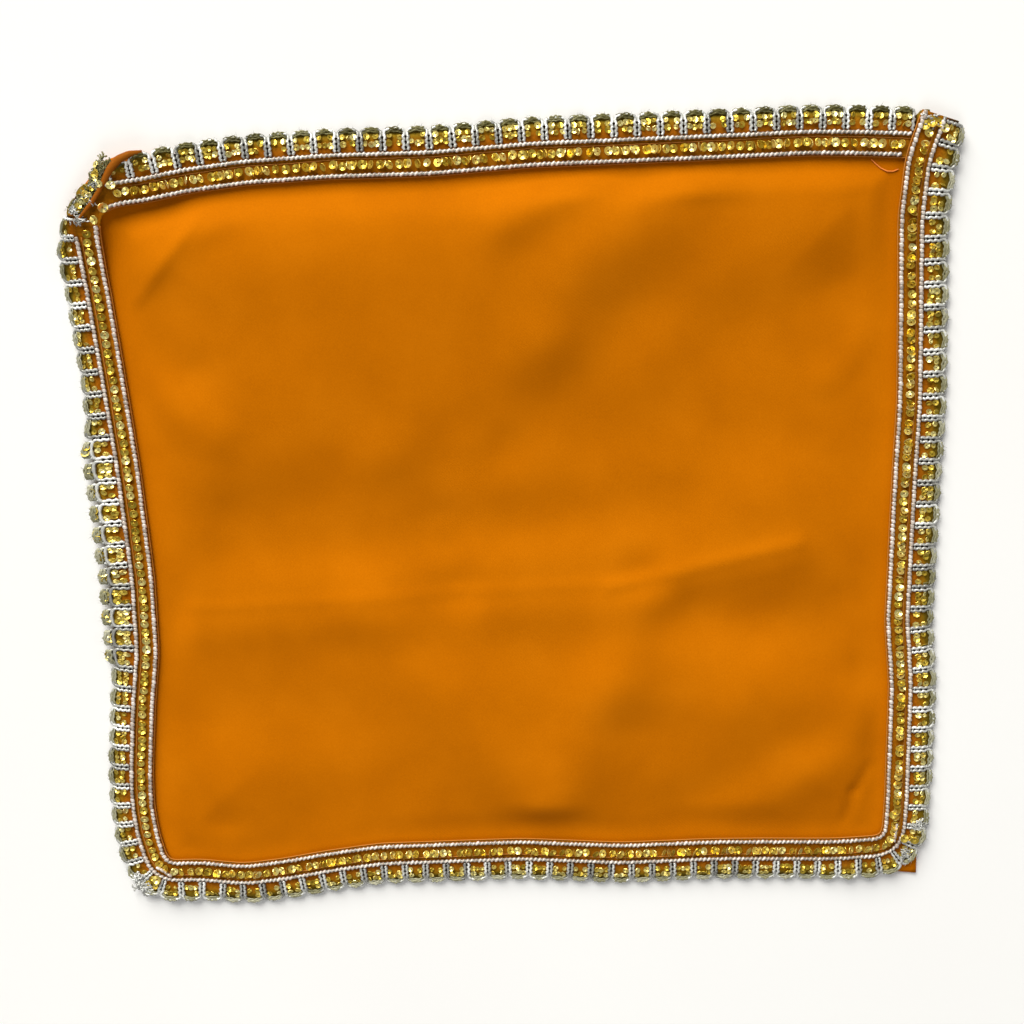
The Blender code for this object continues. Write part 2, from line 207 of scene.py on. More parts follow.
# The ridge where the far left corner is pinched down, as the part has it
PINCH_FROM = (-128.0, 131.0)
PINCH_TO = (-144.5, 108.0)
PINCH_RISE = 3.0
PINCH_INNER_RUN = 15.0
PINCH_OUTER_RUN = 10.0
PINCH_END_RUN = 9.0
STAND_OFF_AT = (-137.0, 119.0)
STAND_OFF_FULL = 18.0
STAND_OFF_NONE = 38.0
TAPE_STAND_OFF = 1.6
TRIM_STAND_OFF = 0.4

# Stretches where the lace doesn't bend down, (name, side, from, to)
FLAT_STRETCHES = (
    ("caps laid flat", "left", 34, -53),
    ("cloth showing past the caps", "far", -98, -150),
    ("far left corner", "left", 125, 92),
    ("near left corner", "left", -116, -150),
    ("near left corner", "near", -150, -122),
    ("near right corner", "near", 116, 150),
    ("near right corner", "right", -150, -112),
)

# Stretches where the scallops reach further or less far, (name, side, from, to, extra)
REACH_FROM = 8.5
REACH_STRETCHES = (
    ("pinched corner", "far", -126, -150, -4.6),
    ("pinched corner", "left", 125, 104, -4.6),
    ("short caps", "left", 104, 48, -0.8),
    ("caps laid flat", "left", 34, -53, 3.2),
    ("full caps", "right", -110, 128, 0.9),
    ("rounded end", "right", 131, 150, -1.0),
)

# How finely the lace's line is followed
SAMPLE = 1.0
CORNER_WINDOW = 7
STRETCH_WINDOW = 11
CELL_LINE_OUT = 12.0

# The fine cloth and the fine ground of the lace
CLOTH_SIZE = (298.0, 280.0)
CLOTH_GRID = 1.9
SATIN_THICKNESS = 0.4
LEAST_AIR = 0.05
TABLE_EASE = 0.2
GROUND_THICKNESS = 0.35
GROUND_STEP = 1.05
GROUND_UV = 15.0
GROUND_OUT = (-1.0, -0.6, 0.6, 2.0, 3.4, 4.8, 6.0, 7.2, 8.4, 9.6, 10.8, 12.0, 12.6)
LOBE_OUT = 2.4
LOBE_HALF_SHARE = 0.42
LOBE_ROWS = 4


def ease(share):
    """A smooth step from 0 to 1 as the share goes from 0 to 1."""
    held = np.clip(share, 0.0, 1.0)
    return held * held * (3.0 - 2.0 * held)


def linear(hex_colour):
    """The linear RGBA of an sRGB hex colour."""
    channels = [int(hex_colour[i:i + 2], 16) / 255.0 for i in (1, 3, 5)]
    return [c / 12.92 if c <= 0.04045 else ((c + 0.055) / 1.055) ** 2.4 for c in channels] + [1.0]


def distance_along(points):
    """The length of a line of points up to each of them."""
    steps = np.linalg.norm(np.diff(points, axis=0), axis=1)
    return np.concatenate([[0.0], np.cumsum(steps)])


def averaged(values, window):
    """A moving average that keeps both ends where they are."""
    half = window // 2
    head = 2 * values[0] - values[half:0:-1]
    tail = 2 * values[-1] - values[-2:-half - 2:-1]
    padded = np.concatenate([head, values, tail])
    return np.convolve(padded, np.ones(window) / window, "valid")


def spaced(points, step):
    """The same line with points one step apart."""
    along = distance_along(points)
    wanted = np.linspace(0.0, along[-1], round(along[-1] / step) + 1)
    return np.column_stack([np.interp(wanted, along, points[:, k]) for k in (0, 1)])


def lace_route():
    """The lace's inner line, its outward direction and the side that each point is on."""
    sides = (("far", LACE_FAR), ("left", LACE_LEFT), ("near", LACE_NEAR), ("right", LACE_RIGHT))
    knots = np.array([point for _, rows in sides for point in rows], float)
    line = spaced(knots, SAMPLE)
    for _ in range(2):
        line = np.column_stack([averaged(line[:, k], CORNER_WINDOW) for k in (0, 1)])
    heading = np.gradient(line, axis=0)
    outward = np.column_stack([heading[:, 1], -heading[:, 0]])
    outward = outward / np.linalg.norm(outward, axis=1)[:, None]
    turn = np.unwrap(np.arctan2(outward[:, 1], outward[:, 0]))
    quarter = np.round(turn / (math.pi / 2)).astype(int) - 1
    names = np.array([name for name, _ in sides])[np.clip(quarter, 0, 3)]
    cell_line = line + outward * CELL_LINE_OUT
    return {"along": distance_along(cell_line), "line": line, "turn": turn, "side": names}


def stretch_weight(route, side, start, stop):
    """1 on the part of a side between two places, 0 elsewhere, per point of the route."""
    place = route["line"][:, 0] if side in ("far", "near") else route["line"][:, 1]
    low, high = min(start, stop), max(start, stop)
    return ((route["side"] == side) & (place >= low) & (place <= high)).astype(float)


def add_stretches(route):
    """How far the lace bends down and how far its loops reach, per point of the route."""
    flat = sum(stretch_weight(route, *row[1:]) for row in FLAT_STRETCHES)
    route["bend"] = averaged(1.0 - np.clip(flat, 0.0, 1.0), STRETCH_WINDOW)
    extra = sum(stretch_weight(route, *row[1:4]) * row[4] for row in REACH_STRETCHES)
    route["extra"] = averaged(extra, STRETCH_WINDOW)
    for side in ("far", "left", "near", "right"):
        route["on " + side] = averaged((route["side"] == side).astype(float), STRETCH_WINDOW)
    return route


ROUTE = add_stretches(lace_route())
LACE_LENGTH = ROUTE["along"][-1]
SCALLOP_PITCH = (LACE_LENGTH - SCALLOP_START - SCALLOP_STOP_SHORT) / SCALLOP_COUNT


def read_route(key, along):
    return np.interp(along, ROUTE["along"], ROUTE[key])


def lace_plan(along, out):
    """The plan position of a point of the lace, before centring."""
    turn = read_route("turn", along)
    past_cord = np.maximum(out - REACH_FROM, 0.0) / (LOOP_END_OUT - REACH_FROM)
    reached = out + read_route("extra", along) * past_cord
    x = np.interp(along, ROUTE["along"], ROUTE["line"][:, 0]) + np.cos(turn) * reached
    y = np.interp(along, ROUTE["along"], ROUTE["line"][:, 1]) + np.sin(turn) * reached
    return x, y


def inside_lace(x, y):
    """How far a place lies inside the inner cord, less than 0 under the lace."""
    far = np.interp(x, *np.array(LACE_FAR[::-1]).T) - y
    near = y - np.interp(x, *np.array(LACE_NEAR).T)
    left = x - np.interp(y, *np.array(LACE_LEFT[::-1]).T[::-1])
    right = np.interp(y, *np.array(LACE_RIGHT).T[::-1]) - x
    return np.minimum(np.minimum(far, near), np.minimum(left, right))


def pinch_rise(x, y):
    """The height of the pinched ridge at the far left corner."""
    start, stop = np.array(PINCH_FROM), np.array(PINCH_TO)
    length = np.linalg.norm(stop - start)
    crest = (stop - start) / length
    along = (x - start[0]) * crest[0] + (y - start[1]) * crest[1]
    outwards = (x - start[0]) * crest[1] - (y - start[1]) * crest[0]
    run = np.where(outwards > 0, PINCH_OUTER_RUN, PINCH_INNER_RUN)
    across = 1.0 - ease(np.abs(outwards) / run)
    past_end = np.maximum(-along, along - length)
    return PINCH_RISE * across * (1.0 - ease(past_end / PINCH_END_RUN))


def fold_rise(x, y, x0, y0, x1, y1, half_width, rise, tilt=0.0):
    """One soft ridge, trough or slope along a straight run, fading past both ends."""
    length = math.hypot(x1 - x0, y1 - y0)
    ux, uy = (x1 - x0) / length, (y1 - y0) / length
    along = (x - x0) * ux + (y - y0) * uy
    past_end = np.maximum(np.maximum(-along, along - length), 0.0)
    across = (x - x0) * uy - (y - y0) * ux
    spread = (across * across + past_end * past_end) / (half_width * half_width)
    return (rise + tilt * across / half_width) * np.exp(-spread)


def folds_height(x, y):
    """The part's own folds and swell, before they are kept off the table."""
    inside = inside_lace(x, y) - FLAT_HEM
    height = SWELL * ease(inside / SWELL_RUN)
    fade = ease(inside / FOLD_FADE)
    for _, *fold in FOLDS:
        height = height + fade * fold_rise(x, y, *fold)
    return height


def crease_rise(x, y):
    """What the satin's own slopes and creases add to the part's folds."""
    fade = ease((inside_lace(x, y) - 1.0) / FOLD_FADE)
    return fade * sum(fold_rise(x, y, *crease) for _, *crease in CREASES)


def near_stand_off(x, y):
    """1 where the trim stands off at the pinched corner, 0 away from it."""
    reach = np.hypot(x - STAND_OFF_AT[0], y - STAND_OFF_AT[1])
    return 1.0 - ease((reach - STAND_OFF_FULL) / (STAND_OFF_NONE - STAND_OFF_FULL))


def ground_top(x, y):
    """The height of the ground's top where it doesn't bend down."""
    seat = CLOTH_THICKNESS + PIECE_GAP + TAPE_THICKNESS + pinch_rise(x, y)
    return seat + near_stand_off(x, y) * TAPE_STAND_OFF


def lace_height(along, out, over):
    """The height of a point of the lace that stands a given height over the ground's top."""
    x, y = lace_plan(along, out)
    seat = ground_top(x, y) + near_stand_off(x, y) * TRIM_STAND_OFF * ease(over / PIECE_GAP)
    bend = np.minimum(np.maximum(out - BEND_OUT, 0.0) * BEND_SLOPE, BEND_DEPTH)
    from_end = LACE_LENGTH - along
    lift = END_LIFT * (1.0 - ease((from_end - END_LIFT_TO) / (END_LIFT_FROM - END_LIFT_TO)))
    return seat - bend * read_route("bend", along) + lift + over


def cell_middles():
    return SCALLOP_START + (np.arange(SCALLOP_COUNT) + 0.5) * SCALLOP_PITCH


def plan_centre():
    """The middle of the part's scallop cord in plan, which is the part's origin."""
    middles = cell_middles()
    tips = [middles + share * SCALLOP_PITCH for share in (-LOOP_TIP_SHARE, LOOP_TIP_SHARE)]
    x, y = lace_plan(np.concatenate(tips), LOOP_END_OUT)
    return (x.min() + x.max()) / 2.0, (y.min() + y.max()) / 2.0


CENTRE = plan_centre()


def placed(x, y, z):
    """Points in metres about the part's origin."""
    return np.column_stack([np.ravel(x) - CENTRE[0], np.ravel(y) - CENTRE[1], np.ravel(z)]) * MM


def on_lace(points):
    """Points of the lace's flat space, in millimetres, where they lie on the cover."""
    along, out, over = np.asarray(points, float).T
    x, y = lace_plan(along, out)
    return placed(x, y, lace_height(along, out, over))


def on_corner(points):
    """Points over the ground at a corner, given in plan and by their height over it."""
    x, y, over = np.asarray(points, float).T
    return placed(x, y, ground_top(x, y) + over)


def real_distance(out):
    """The lace's own measure, and the real distance along it at a distance out."""
    along = np.linspace(0.0, LACE_LENGTH, round(LACE_LENGTH / SAMPLE) + 1)
    x, y = lace_plan(along, np.full_like(along, out))
    return along, distance_along(np.column_stack([x, y]))


def evenly_along(out, pitch, start, gap):
    """Places one pitch apart as measured at a distance out, and the lace's measure there.

    They begin at a start and leave out a gap, both in the lace's own measure.
    """
    fine, real = real_distance(out)
    places = np.arange(np.interp(start, fine, real) + pitch / 2.0, real[-1] - pitch / 3.0, pitch)
    along = np.interp(places, real, fine)
    kept = (along < gap[0]) | (along > gap[1])
    return places[kept], along[kept]


def out_for_reach(along, reach):
    """The lace's own out that lands at a real distance from the inner cord."""
    share = read_route("extra", along) / (LOOP_END_OUT - REACH_FROM)
    return (reach + share * REACH_FROM) / (1.0 + share)


def add_node(tree, kind, inputs=(), **settings):
    """One node with its settings, and its inputs given as values or as sockets to link."""
    node = tree.nodes.new(kind)
    for name, value in settings.items():
        setattr(node, name, value)
    for key, value in dict(inputs).items():
        if isinstance(value, bpy.types.NodeSocket):
            tree.links.new(value, node.inputs[key])
        else:
            node.inputs[key].default_value = value
    return node


def new_material(name, inputs):
    """A material with its Principled shader, whose constant values are set on its sockets."""
    material = bpy.data.materials.new(name)
    material.use_nodes = True
    tree = material.node_tree
    shader = tree.nodes["Principled BSDF"]
    for key, value in inputs.items():
        shader.inputs[key].default_value = value
    return material, tree, shader


def ramp_of(tree, factor, stops):
    """A colour ramp through (place, hex colour) stops."""
    node = add_node(tree, "ShaderNodeValToRGB", {0: factor})
    elements = node.color_ramp.elements
    while len(elements) < len(stops):
        elements.new(0.5)
    for element, (place, colour) in zip(elements, stops):
        element.position = place
        element.color = linear(colour)
    return node.outputs["Color"]


def per_metre(size_mm):
    """The scale of a noise whose grain has this size in millimetres, on metres."""
    return 1.0 / (size_mm * MM)


def wave_scale(period_mm):
    """The scale of a band wave with this period in millimetres, on metres."""
    return 2.0 * math.pi / (20.0 * period_mm * MM)


def object_place(tree):
    return add_node(tree, "ShaderNodeTexCoord").outputs["Object"]


def noise_of(tree, size_mm, detail=2.0):
    """Noise with a grain of this size in millimetres, on the object's own coordinates."""
    return add_node(tree, "ShaderNodeTexNoise", {
        "Vector": object_place(tree), "Scale": per_metre(size_mm), "Detail": detail}).outputs[0]


def math_of(tree, operation, *values):
    node = add_node(tree, "ShaderNodeMath", dict(enumerate(values)), operation=operation)
    return node.outputs[0]


def add_bump(tree, shader, height, strength, depth_mm):
    bump = add_node(tree, "ShaderNodeBump", {
        "Strength": strength, "Distance": depth_mm * MM, "Height": height})
    tree.links.new(bump.outputs["Normal"], shader.inputs["Normal"])


def satin(settings):
    """Polyester satin, woven and dyed: an even orange with a soft, coloured sheen. Its real
    threads are about 0.15 mm apart, drawn four times as coarse so that they show."""
    material, tree, shader = new_material("Woven polyester satin", {
        "Roughness": 0.68, "Specular IOR Level": 0.05, "Specular Tint": linear("#FFA640"),
        "Sheen Weight": 0.05, "Sheen Roughness": 0.5, "Sheen Tint": linear("#FF9A2E")})
    twill = add_node(tree, "ShaderNodeTexWave", {
        "Vector": object_place(tree), "Scale": wave_scale(settings.weave_pitch / MM),
        "Distortion": 1.5, "Detail": 1.0}, bands_direction="DIAGONAL")
    mixed = add_node(tree, "ShaderNodeMix", {
        0: 0.35, 2: noise_of(tree, 26.0, 3.0), 3: noise_of(tree, 0.6)})
    colour = ramp_of(tree, mixed.outputs[0], (
        (0.30, "#B76302"), (0.50, "#C06902"), (0.70, "#C86F04")))
    tree.links.new(colour, shader.inputs["Base Color"])
    add_bump(tree, shader, twill.outputs["Fac"], 0.25, 0.05)
    return material


def lace_ground():
    """Woven ribbon under the trim: duller and browner than the satin, with fine cross
    threads, and darker where the loops shade it. It reads the lace's own measures."""
    material, tree, shader = new_material("Woven ribbon ground", {
        "Roughness": 0.7, "Specular IOR Level": 0.15, "Specular Tint": linear("#FFB060")})
    lace = add_node(tree, "ShaderNodeUVMap", uv_map="lace").outputs["UV"]
    split = add_node(tree, "ShaderNodeSeparateXYZ", {0: lace})
    grain = noise_of(tree, 0.9, 3.0)
    colour = ramp_of(tree, split.outputs["Y"], (
        (0.00, "#C87E14"), (0.10, "#BE7410"), (0.20, "#AE6A0C"), (0.38, "#C07812"),
        (0.47, "#A0600C"), (0.60, "#C06E12"), (0.72, "#B87A16"), (0.86, "#9A7C1C"),
        (1.00, "#7A6A2C")))
    # Painted shade: the ground turns dark brown between the legs of neighbouring loops, past the
    # outer cord
    centred = math_of(tree, "SUBTRACT", math_of(tree, "FRACT", split.outputs["X"]), 0.5)
    between = add_node(tree, "ShaderNodeMapRange", {
        "Value": math_of(tree, "ABSOLUTE", centred), "From Min": 0.38, "From Max": 0.46})
    outer = add_node(tree, "ShaderNodeMapRange", {
        "Value": split.outputs["Y"], "From Min": 0.5, "From Max": 0.56})
    shade = math_of(tree, "MULTIPLY", between.outputs[0], outer.outputs[0])
    shaded = add_node(tree, "ShaderNodeMix", {
        0: shade, 6: colour, 7: linear("#3A2610")}, data_type="RGBA")
    speckled = add_node(tree, "ShaderNodeMix", {
        0: grain, 6: linear("#9A9A9A"), 7: linear("#FFFFFF")}, data_type="RGBA")
    final = add_node(tree, "ShaderNodeMix", {
        0: 1.0, 6: shaded.outputs[2], 7: speckled.outputs[2]}, data_type="RGBA",
        blend_type="MULTIPLY")
    tree.links.new(final.outputs[2], shader.inputs["Base Color"])
    add_bump(tree, shader, grain, 0.5, 0.15)
    return material


def toned(finish):
    """A finish whose colour goes from piece to piece with the attribute tone, over a grain."""
    name, stops, grain_mm, bump_mm, inputs = finish
    material, tree, shader = new_material(name, inputs)
    tone = add_node(tree, "ShaderNodeAttribute", attribute_name="tone").outputs["Fac"]
    grain_noise = noise_of(tree, grain_mm)
    mixed = add_node(tree, "ShaderNodeMix", {0: 0.35, 2: tone, 3: grain_noise})
    tree.links.new(ramp_of(tree, mixed.outputs[0], stops), shader.inputs["Base Color"])
    add_bump(tree, shader, grain_noise, 0.4, bump_mm)
    return material


# Finishes of the trim, (real material, colours, grain in mm, bump in mm, shader values)

# Metallised polyester twisted into a cord: pinkish white where it catches the light
SILVER_CORD = (
    "Twisted silver yarn", ((0.15, "#A8998C"), (0.45, "#D8CABD"), (0.75, "#F2E6DB")), 0.25, 0.08,
    {"Metallic": 0.25, "Roughness": 0.38})
# The same yarn worked in loops, with painted shade: a darker, cooler grey because less of it faces
# up
SILVER_LOOP = (
    "Looped silver yarn", ((0.15, "#8E8D86"), (0.5, "#CFCFC8"), (0.8, "#F4F5F0")), 0.3, 0.12,
    {"Metallic": 0.35, "Roughness": 0.34})
# Stamped PET film metallised in gold: a mirror with a green cast in its shaded side
GOLD_FILM = (
    "Gold metallised film", ((0.2, "#C4A634"), (0.5, "#F0D25A"), (0.8, "#FFF2A2")), 0.8, 0.03,
    {"Metallic": 0.75, "Roughness": 0.28})
# Metallised yarn wrapped over the loops' ends: olive, with painted shade that makes it dark on the
# far side
CAP_YARN = (
    "Wrapped zari yarn",
    ((0.1, "#3A3410"), (0.3, "#6A6430"), (0.55, "#A19E7E"), (0.85, "#D2D0BC")), 0.35, 0.15,
    {"Metallic": 0.3, "Roughness": 0.5})
# Spun polyester sewing thread, matt and lighter than the ribbon under it
ORANGE_THREAD = (
    "Spun orange thread", ((0.2, "#B9752A"), (0.6, "#D08D3C"), (0.9, "#DDA050")), 0.4, 0.05,
    {"Roughness": 0.7, "Specular IOR Level": 0.2})
# The same thread by itself, with painted light: lighter still where it stands off the satin
BRIGHT_THREAD = (
    "Loose orange thread", ((0.2, "#F08C3C"), (0.8, "#FFB066")), 0.4, 0.05,
    {"Roughness": 0.6, "Specular IOR Level": 0.25})
# The ribbon's own satin edge folded over, with painted shade of its creases as dark patches in a
# fine grain
FOLDED_RIBBON = (
    "Folded satin ribbon", ((0.2, "#8E4E10"), (0.5, "#C87822"), (0.8, "#E8963C")), 1.1, 0.3,
    {"Roughness": 0.6, "Specular IOR Level": 0.2, "Specular Tint": linear("#FFB060")})


def floor_board():
    """A painted white board, matt, with only a trace of unevenness."""
    material, tree, shader = new_material("Painted white board", {
        "Roughness": 0.9, "Specular IOR Level": 0.1})
    colour = ramp_of(tree, noise_of(tree, 180.0), ((0.3, "#F6F5F3"), (0.7, "#F8F8F6")))
    tree.links.new(colour, shader.inputs["Base Color"])
    return material


def named_input(tree, name, kind):
    return add_node(tree, "GeometryNodeInputNamedAttribute", {"Name": name},
                    data_type=kind).outputs["Attribute"]


REPEAT_INPUTS = (
    ("Points", "NodeSocketGeometry"),
    ("Shapes", "NodeSocketCollection"),
    ("Turn spread", "NodeSocketVector"),
    ("Smallest", "NodeSocketFloat"),
    ("Largest", "NodeSocketFloat"),
    ("Seed", "NodeSocketInt"),
    ("Finish", "NodeSocketMaterial"),
)


def random_turn(tree, given):
    """Each point's own turn, and a random one within the spread on top of it."""
    least = add_node(tree, "ShaderNodeVectorMath", {
        0: given["Turn spread"], "Scale": -1.0}, operation="SCALE")
    swing = add_node(tree, "FunctionNodeRandomValue", {
        0: least.outputs[0], 1: given["Turn spread"], "Seed": given["Seed"]},
        data_type="FLOAT_VECTOR")
    turned = add_node(tree, "ShaderNodeVectorMath", {
        0: named_input(tree, "turn", "FLOAT_VECTOR"), 1: swing.outputs[0]}, operation="ADD")
    return add_node(tree, "FunctionNodeEulerToRotation", {0: turned.outputs[0]}).outputs[0]


def repeat_tree():
    """A tree that sets one of several shapes on each point, turned and sized at random."""
    name = "Repeat along the lace"
    if name in bpy.data.node_groups:
        return bpy.data.node_groups[name]
    tree = bpy.data.node_groups.new(name, "GeometryNodeTree")
    for label, kind in REPEAT_INPUTS:
        tree.interface.new_socket(label, in_out="INPUT", socket_type=kind)
    tree.interface.new_socket("Trim", in_out="OUTPUT", socket_type="NodeSocketGeometry")
    given = add_node(tree, "NodeGroupInput").outputs
    size = add_node(tree, "FunctionNodeRandomValue", {
        2: given["Smallest"], 3: given["Largest"],
        "Seed": math_of(tree, "ADD", given["Seed"], 1.0)})
    shapes = add_node(tree, "GeometryNodeCollectionInfo", {
        "Collection": given["Shapes"], "Separate Children": True, "Reset Children": True})
    set_out = add_node(tree, "GeometryNodeInstanceOnPoints", {
        "Points": given["Points"], "Instance": shapes.outputs[0], "Pick Instance": True,
        "Instance Index": named_input(tree, "pick", "INT"),
        "Rotation": random_turn(tree, given), "Scale": size.outputs[1]})
    tone = add_node(tree, "FunctionNodeRandomValue", {
        "Seed": math_of(tree, "ADD", given["Seed"], 2.0)})
    marked = add_node(tree, "GeometryNodeStoreNamedAttribute", {
        "Geometry": set_out.outputs[0], "Name": "tone", "Value": tone.outputs[1]},
        data_type="FLOAT", domain="INSTANCE")
    solid = add_node(tree, "GeometryNodeRealizeInstances", {"Geometry": marked.outputs[0]})
    finished = add_node(tree, "GeometryNodeSetMaterial", {
        "Geometry": solid.outputs[0], "Material": given["Finish"]})
    add_node(tree, "NodeGroupOutput", {0: finished.outputs[0]})
    return tree


def mesh_of(name, shape, finish=None, smooth=True):
    """A mesh of a built shape, which is then freed."""
    data = bpy.data.meshes.new(name)
    shape.to_mesh(data)
    shape.free()
    if smooth:
        data.shade_smooth()
    if finish is not None:
        data.materials.append(finish)
    return data


def mesh_object(name, data):
    item = bpy.data.objects.new(name, data)
    bpy.context.scene.collection.objects.link(item)
    return item


def laid_object(name, shape, lay, finish):
    """An object of a flat shape, whose corners are laid on the cover."""
    data = mesh_of(name, shape, finish)
    corners = np.array([corner.co for corner in data.vertices])
    data.vertices.foreach_set("co", lay(corners).ravel())
    return mesh_object(name, data)


def hand_over(item, slot, *nodes):
    """The piece moves with the part and stands for CAD nodes, which are hidden."""
    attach(item, "root")
    if nodes:
        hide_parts(*nodes)


def shape_set(name, builder, count, seed, smooth=True):
    """A collection of shapes in the lace's flat space, each made by a seeded builder."""
    chance = np.random.default_rng(seed)
    collection = bpy.data.collections.new(name)
    for number in range(count):
        shape = bmesh.new()
        builder(shape, chance, number)
        bmesh.ops.recalc_face_normals(shape, faces=shape.faces)
        data = mesh_of(f"{name} {number}", shape, smooth=smooth)
        collection.objects.link(bpy.data.objects.new(data.name, data))
    return collection


def points_object(name, points, turns, picks):
    """An object of loose points, with the turn and the shape that each of them takes."""
    count = len(points)
    data = bpy.data.meshes.new(name)
    data.from_pydata([tuple(point) for point in points], [], [])
    facts = (
        ("turn", "FLOAT_VECTOR", "vector", np.zeros((count, 3)) if turns is None else turns),
        ("pick", "INT", "value", np.zeros(count, int) if picks is None else picks),
    )
    for label, kind, field, values in facts:
        attribute = data.attributes.new(label, kind, "POINT")
        attribute.data.foreach_set(field, np.ravel(values))
    return mesh_object(name, data)


def bake_repeat(item, given):
    """The repeat tree's result on an object of points, which the object then holds."""
    tree = repeat_tree()
    repeat = item.modifiers.new("Repeat", "NODES")
    repeat.node_group = tree
    for socket in tree.interface.items_tree:
        if socket.name in given:
            repeat[socket.identifier] = given[socket.name]
    graph = bpy.context.evaluated_depsgraph_get()
    baked = bpy.data.meshes.new_from_object(item.evaluated_get(graph))
    item.modifiers.clear()
    item.data = baked
    for label in ("turn", "pick"):
        if label in baked.attributes:
            baked.attributes.remove(baked.attributes[label])
    return baked


def lay_down(baked, measured_at, shade, lay):
    """Carry the corners of a baked repeat to the cover, and paint shade on it stretch by stretch.
    """
    corners = np.empty(len(baked.vertices) * 3)
    baked.vertices.foreach_get("co", corners)
    corners = corners.reshape(-1, 3)
    if measured_at is not None:
        fine, real = real_distance(measured_at)
        corners[:, 0] = np.interp(corners[:, 0], real, fine)
    if shade is not None:
        tones = np.empty(len(corners))
        baked.attributes["tone"].data.foreach_get("value", tones)
        baked.attributes["tone"].data.foreach_set("value", shade(corners[:, 0]) + 0.3 * tones)
    baked.vertices.foreach_set("co", lay(corners).ravel())
    baked.update()


def repeat_on_lace(name, slot, points, shapes, finish, nodes=(), turns=None, picks=None,
                   spread=(0, 0, 0), sizes=(1, 1), seed=1, measured_at=None, shade=None,
                   lay=on_lace):
    """The shapes repeated on points of the flat lace by Geometry Nodes, baked, and laid.

    With measured_at, the points' first measure is the real distance at that distance out.
    Shade gives the painted shade of the pieces on each stretch, to which their own tone is added.
    Lay carries the flat points to the cover.
    """
    item = points_object(name, points, turns, picks)
    baked = bake_repeat(item, {
        "Shapes": shapes, "Turn spread": [math.radians(angle) for angle in spread],
        "Smallest": float(sizes[0]), "Largest": float(sizes[1]), "Seed": seed,
        "Finish": toned(finish)})
    lay_down(baked, measured_at, shade, lay)
    baked.name = name
    for shape in list(shapes.objects):
        bpy.data.objects.remove(shape)
    bpy.data.collections.remove(shapes)
    hand_over(item, slot, *nodes)


def about_z(angles):
    """Turns that only go round the vertical."""
    return np.column_stack([np.zeros((len(angles), 2)), angles])


def add_tube(shape, line, radii, sides, flatten=1.0):
    """A closed tube through a line of points, with a radius at each of them."""
    line = np.asarray(line, float)
    radii = np.broadcast_to(radii, len(line))
    heading = np.gradient(line, axis=0)
    heading /= np.linalg.norm(heading, axis=1)[:, None]
    side = np.cross(heading, (0.0, 0.0, 1.0))
    side /= np.linalg.norm(side, axis=1)[:, None]
    top = np.cross(side, heading)
    angles = np.arange(sides) * 2.0 * math.pi / sides
    rings = []
    for point, radius, across, up in zip(line, radii, side, top):
        places = [point + radius * (across * math.cos(a) + up * math.sin(a) * flatten)
                  for a in angles]
        rings.append([shape.verts.new(place) for place in places])
    for near, far in zip(rings, rings[1:]):
        for k in range(sides):
            after = (k + 1) % sides
            shape.faces.new((near[k], far[k], far[after], near[after]))
    shape.faces.new(rings[0])
    shape.faces.new(rings[-1][::-1])


def add_cup(shape, profile, radius, sides):
    """A stamped cup with a hole in its middle, turned from a closed (radius, height) outline."""
    rings = []
    for step in range(sides):
        angle = 2.0 * math.pi * step / sides
        rings.append([shape.verts.new((r * radius * math.cos(angle),
                                       r * radius * math.sin(angle), z * radius))
                      for r, z in profile])
    for step in range(sides):
        here, there = rings[step], rings[(step + 1) % sides]
        for k in range(len(profile)):
            after = (k + 1) % len(profile)
            shape.faces.new((here[k], here[after], there[after], there[k]))


# Turns of the twisted cords, (length, width, height): slanting ones, then square ones
GRAINS = ((1.95, 1.05, 1.25), (1.74, 1.42, 1.2))
GRAIN_SQUARENESS = (0.75, 0.5)
CORD_CORE = 0.55


def grain(shape, chance, number):
    """One turn of a twisted cord, an egg of yarn that bulges between its neighbours."""
    bmesh.ops.create_uvsphere(shape, u_segments=8, v_segments=5, radius=0.5)
    for corner in shape.verts:
        power = GRAIN_SQUARENESS[number]
        x, y, z = (math.copysign(abs(2 * c) ** power / 2, c) for c in corner.co)
        length, width, height = GRAINS[number]
        corner.co = (z * length, x * width, y * height)


# Outlines of the stamped cups, (radius, height) in shares of their radius
LARGE_CUP = ((0.22, 0.02), (0.42, 0.06), (1.00, 0.36), (0.95, 0.43), (0.40, 0.15), (0.20, 0.10))
SMALL_CUP = ((0.22, 0.02), (1.00, 0.36), (0.94, 0.45), (0.20, 0.13))
SEQUIN_RADIUS = 1.52
BEAD_RADIUS = 1.12


def sequin(shape, chance, number):
    add_cup(shape, LARGE_CUP, SEQUIN_RADIUS, 10)


def bead(shape, chance, number):
    add_cup(shape, SMALL_CUP, BEAD_RADIUS, 7)


# One silver loop, in millimetres
LEG_ROOT_OUT = 7.9
LEG_SHOULDER_OUT = 13.5
LOOP_TIP_OUT = 15.2
DOUBLE_SHOULDER_OUT = 11.7
DOUBLE_TIP_OUT = 13.2
LEG_CLOSE = 0.48
LEG_OPEN = 0.98
LEG_WAVE = 1.75
YARN_RADIUS = 0.58
LEG_STEP = 0.42
ARCH_STEPS = 13
ARCH_SQUARENESS = 0.65
LOOP_OVER = 0.75
DOUBLE_LOOPS_FROM = 4
LOOP_SHAPES = 7

# The second loop round the cap of a shorter one
OUTER_INSET = 0.9
OUTER_FOOT_OUT = 13.0
OUTER_RISE = 2.3
OUTER_OVER = 0.5
OUTER_YARN_SHARE = 0.85

# How the yarn of a loop swells along its length, in shares of its radius
SWELL_PITCH = 1.15
SWELL_MEAN = 0.92
SWELL_SIZE = 0.2


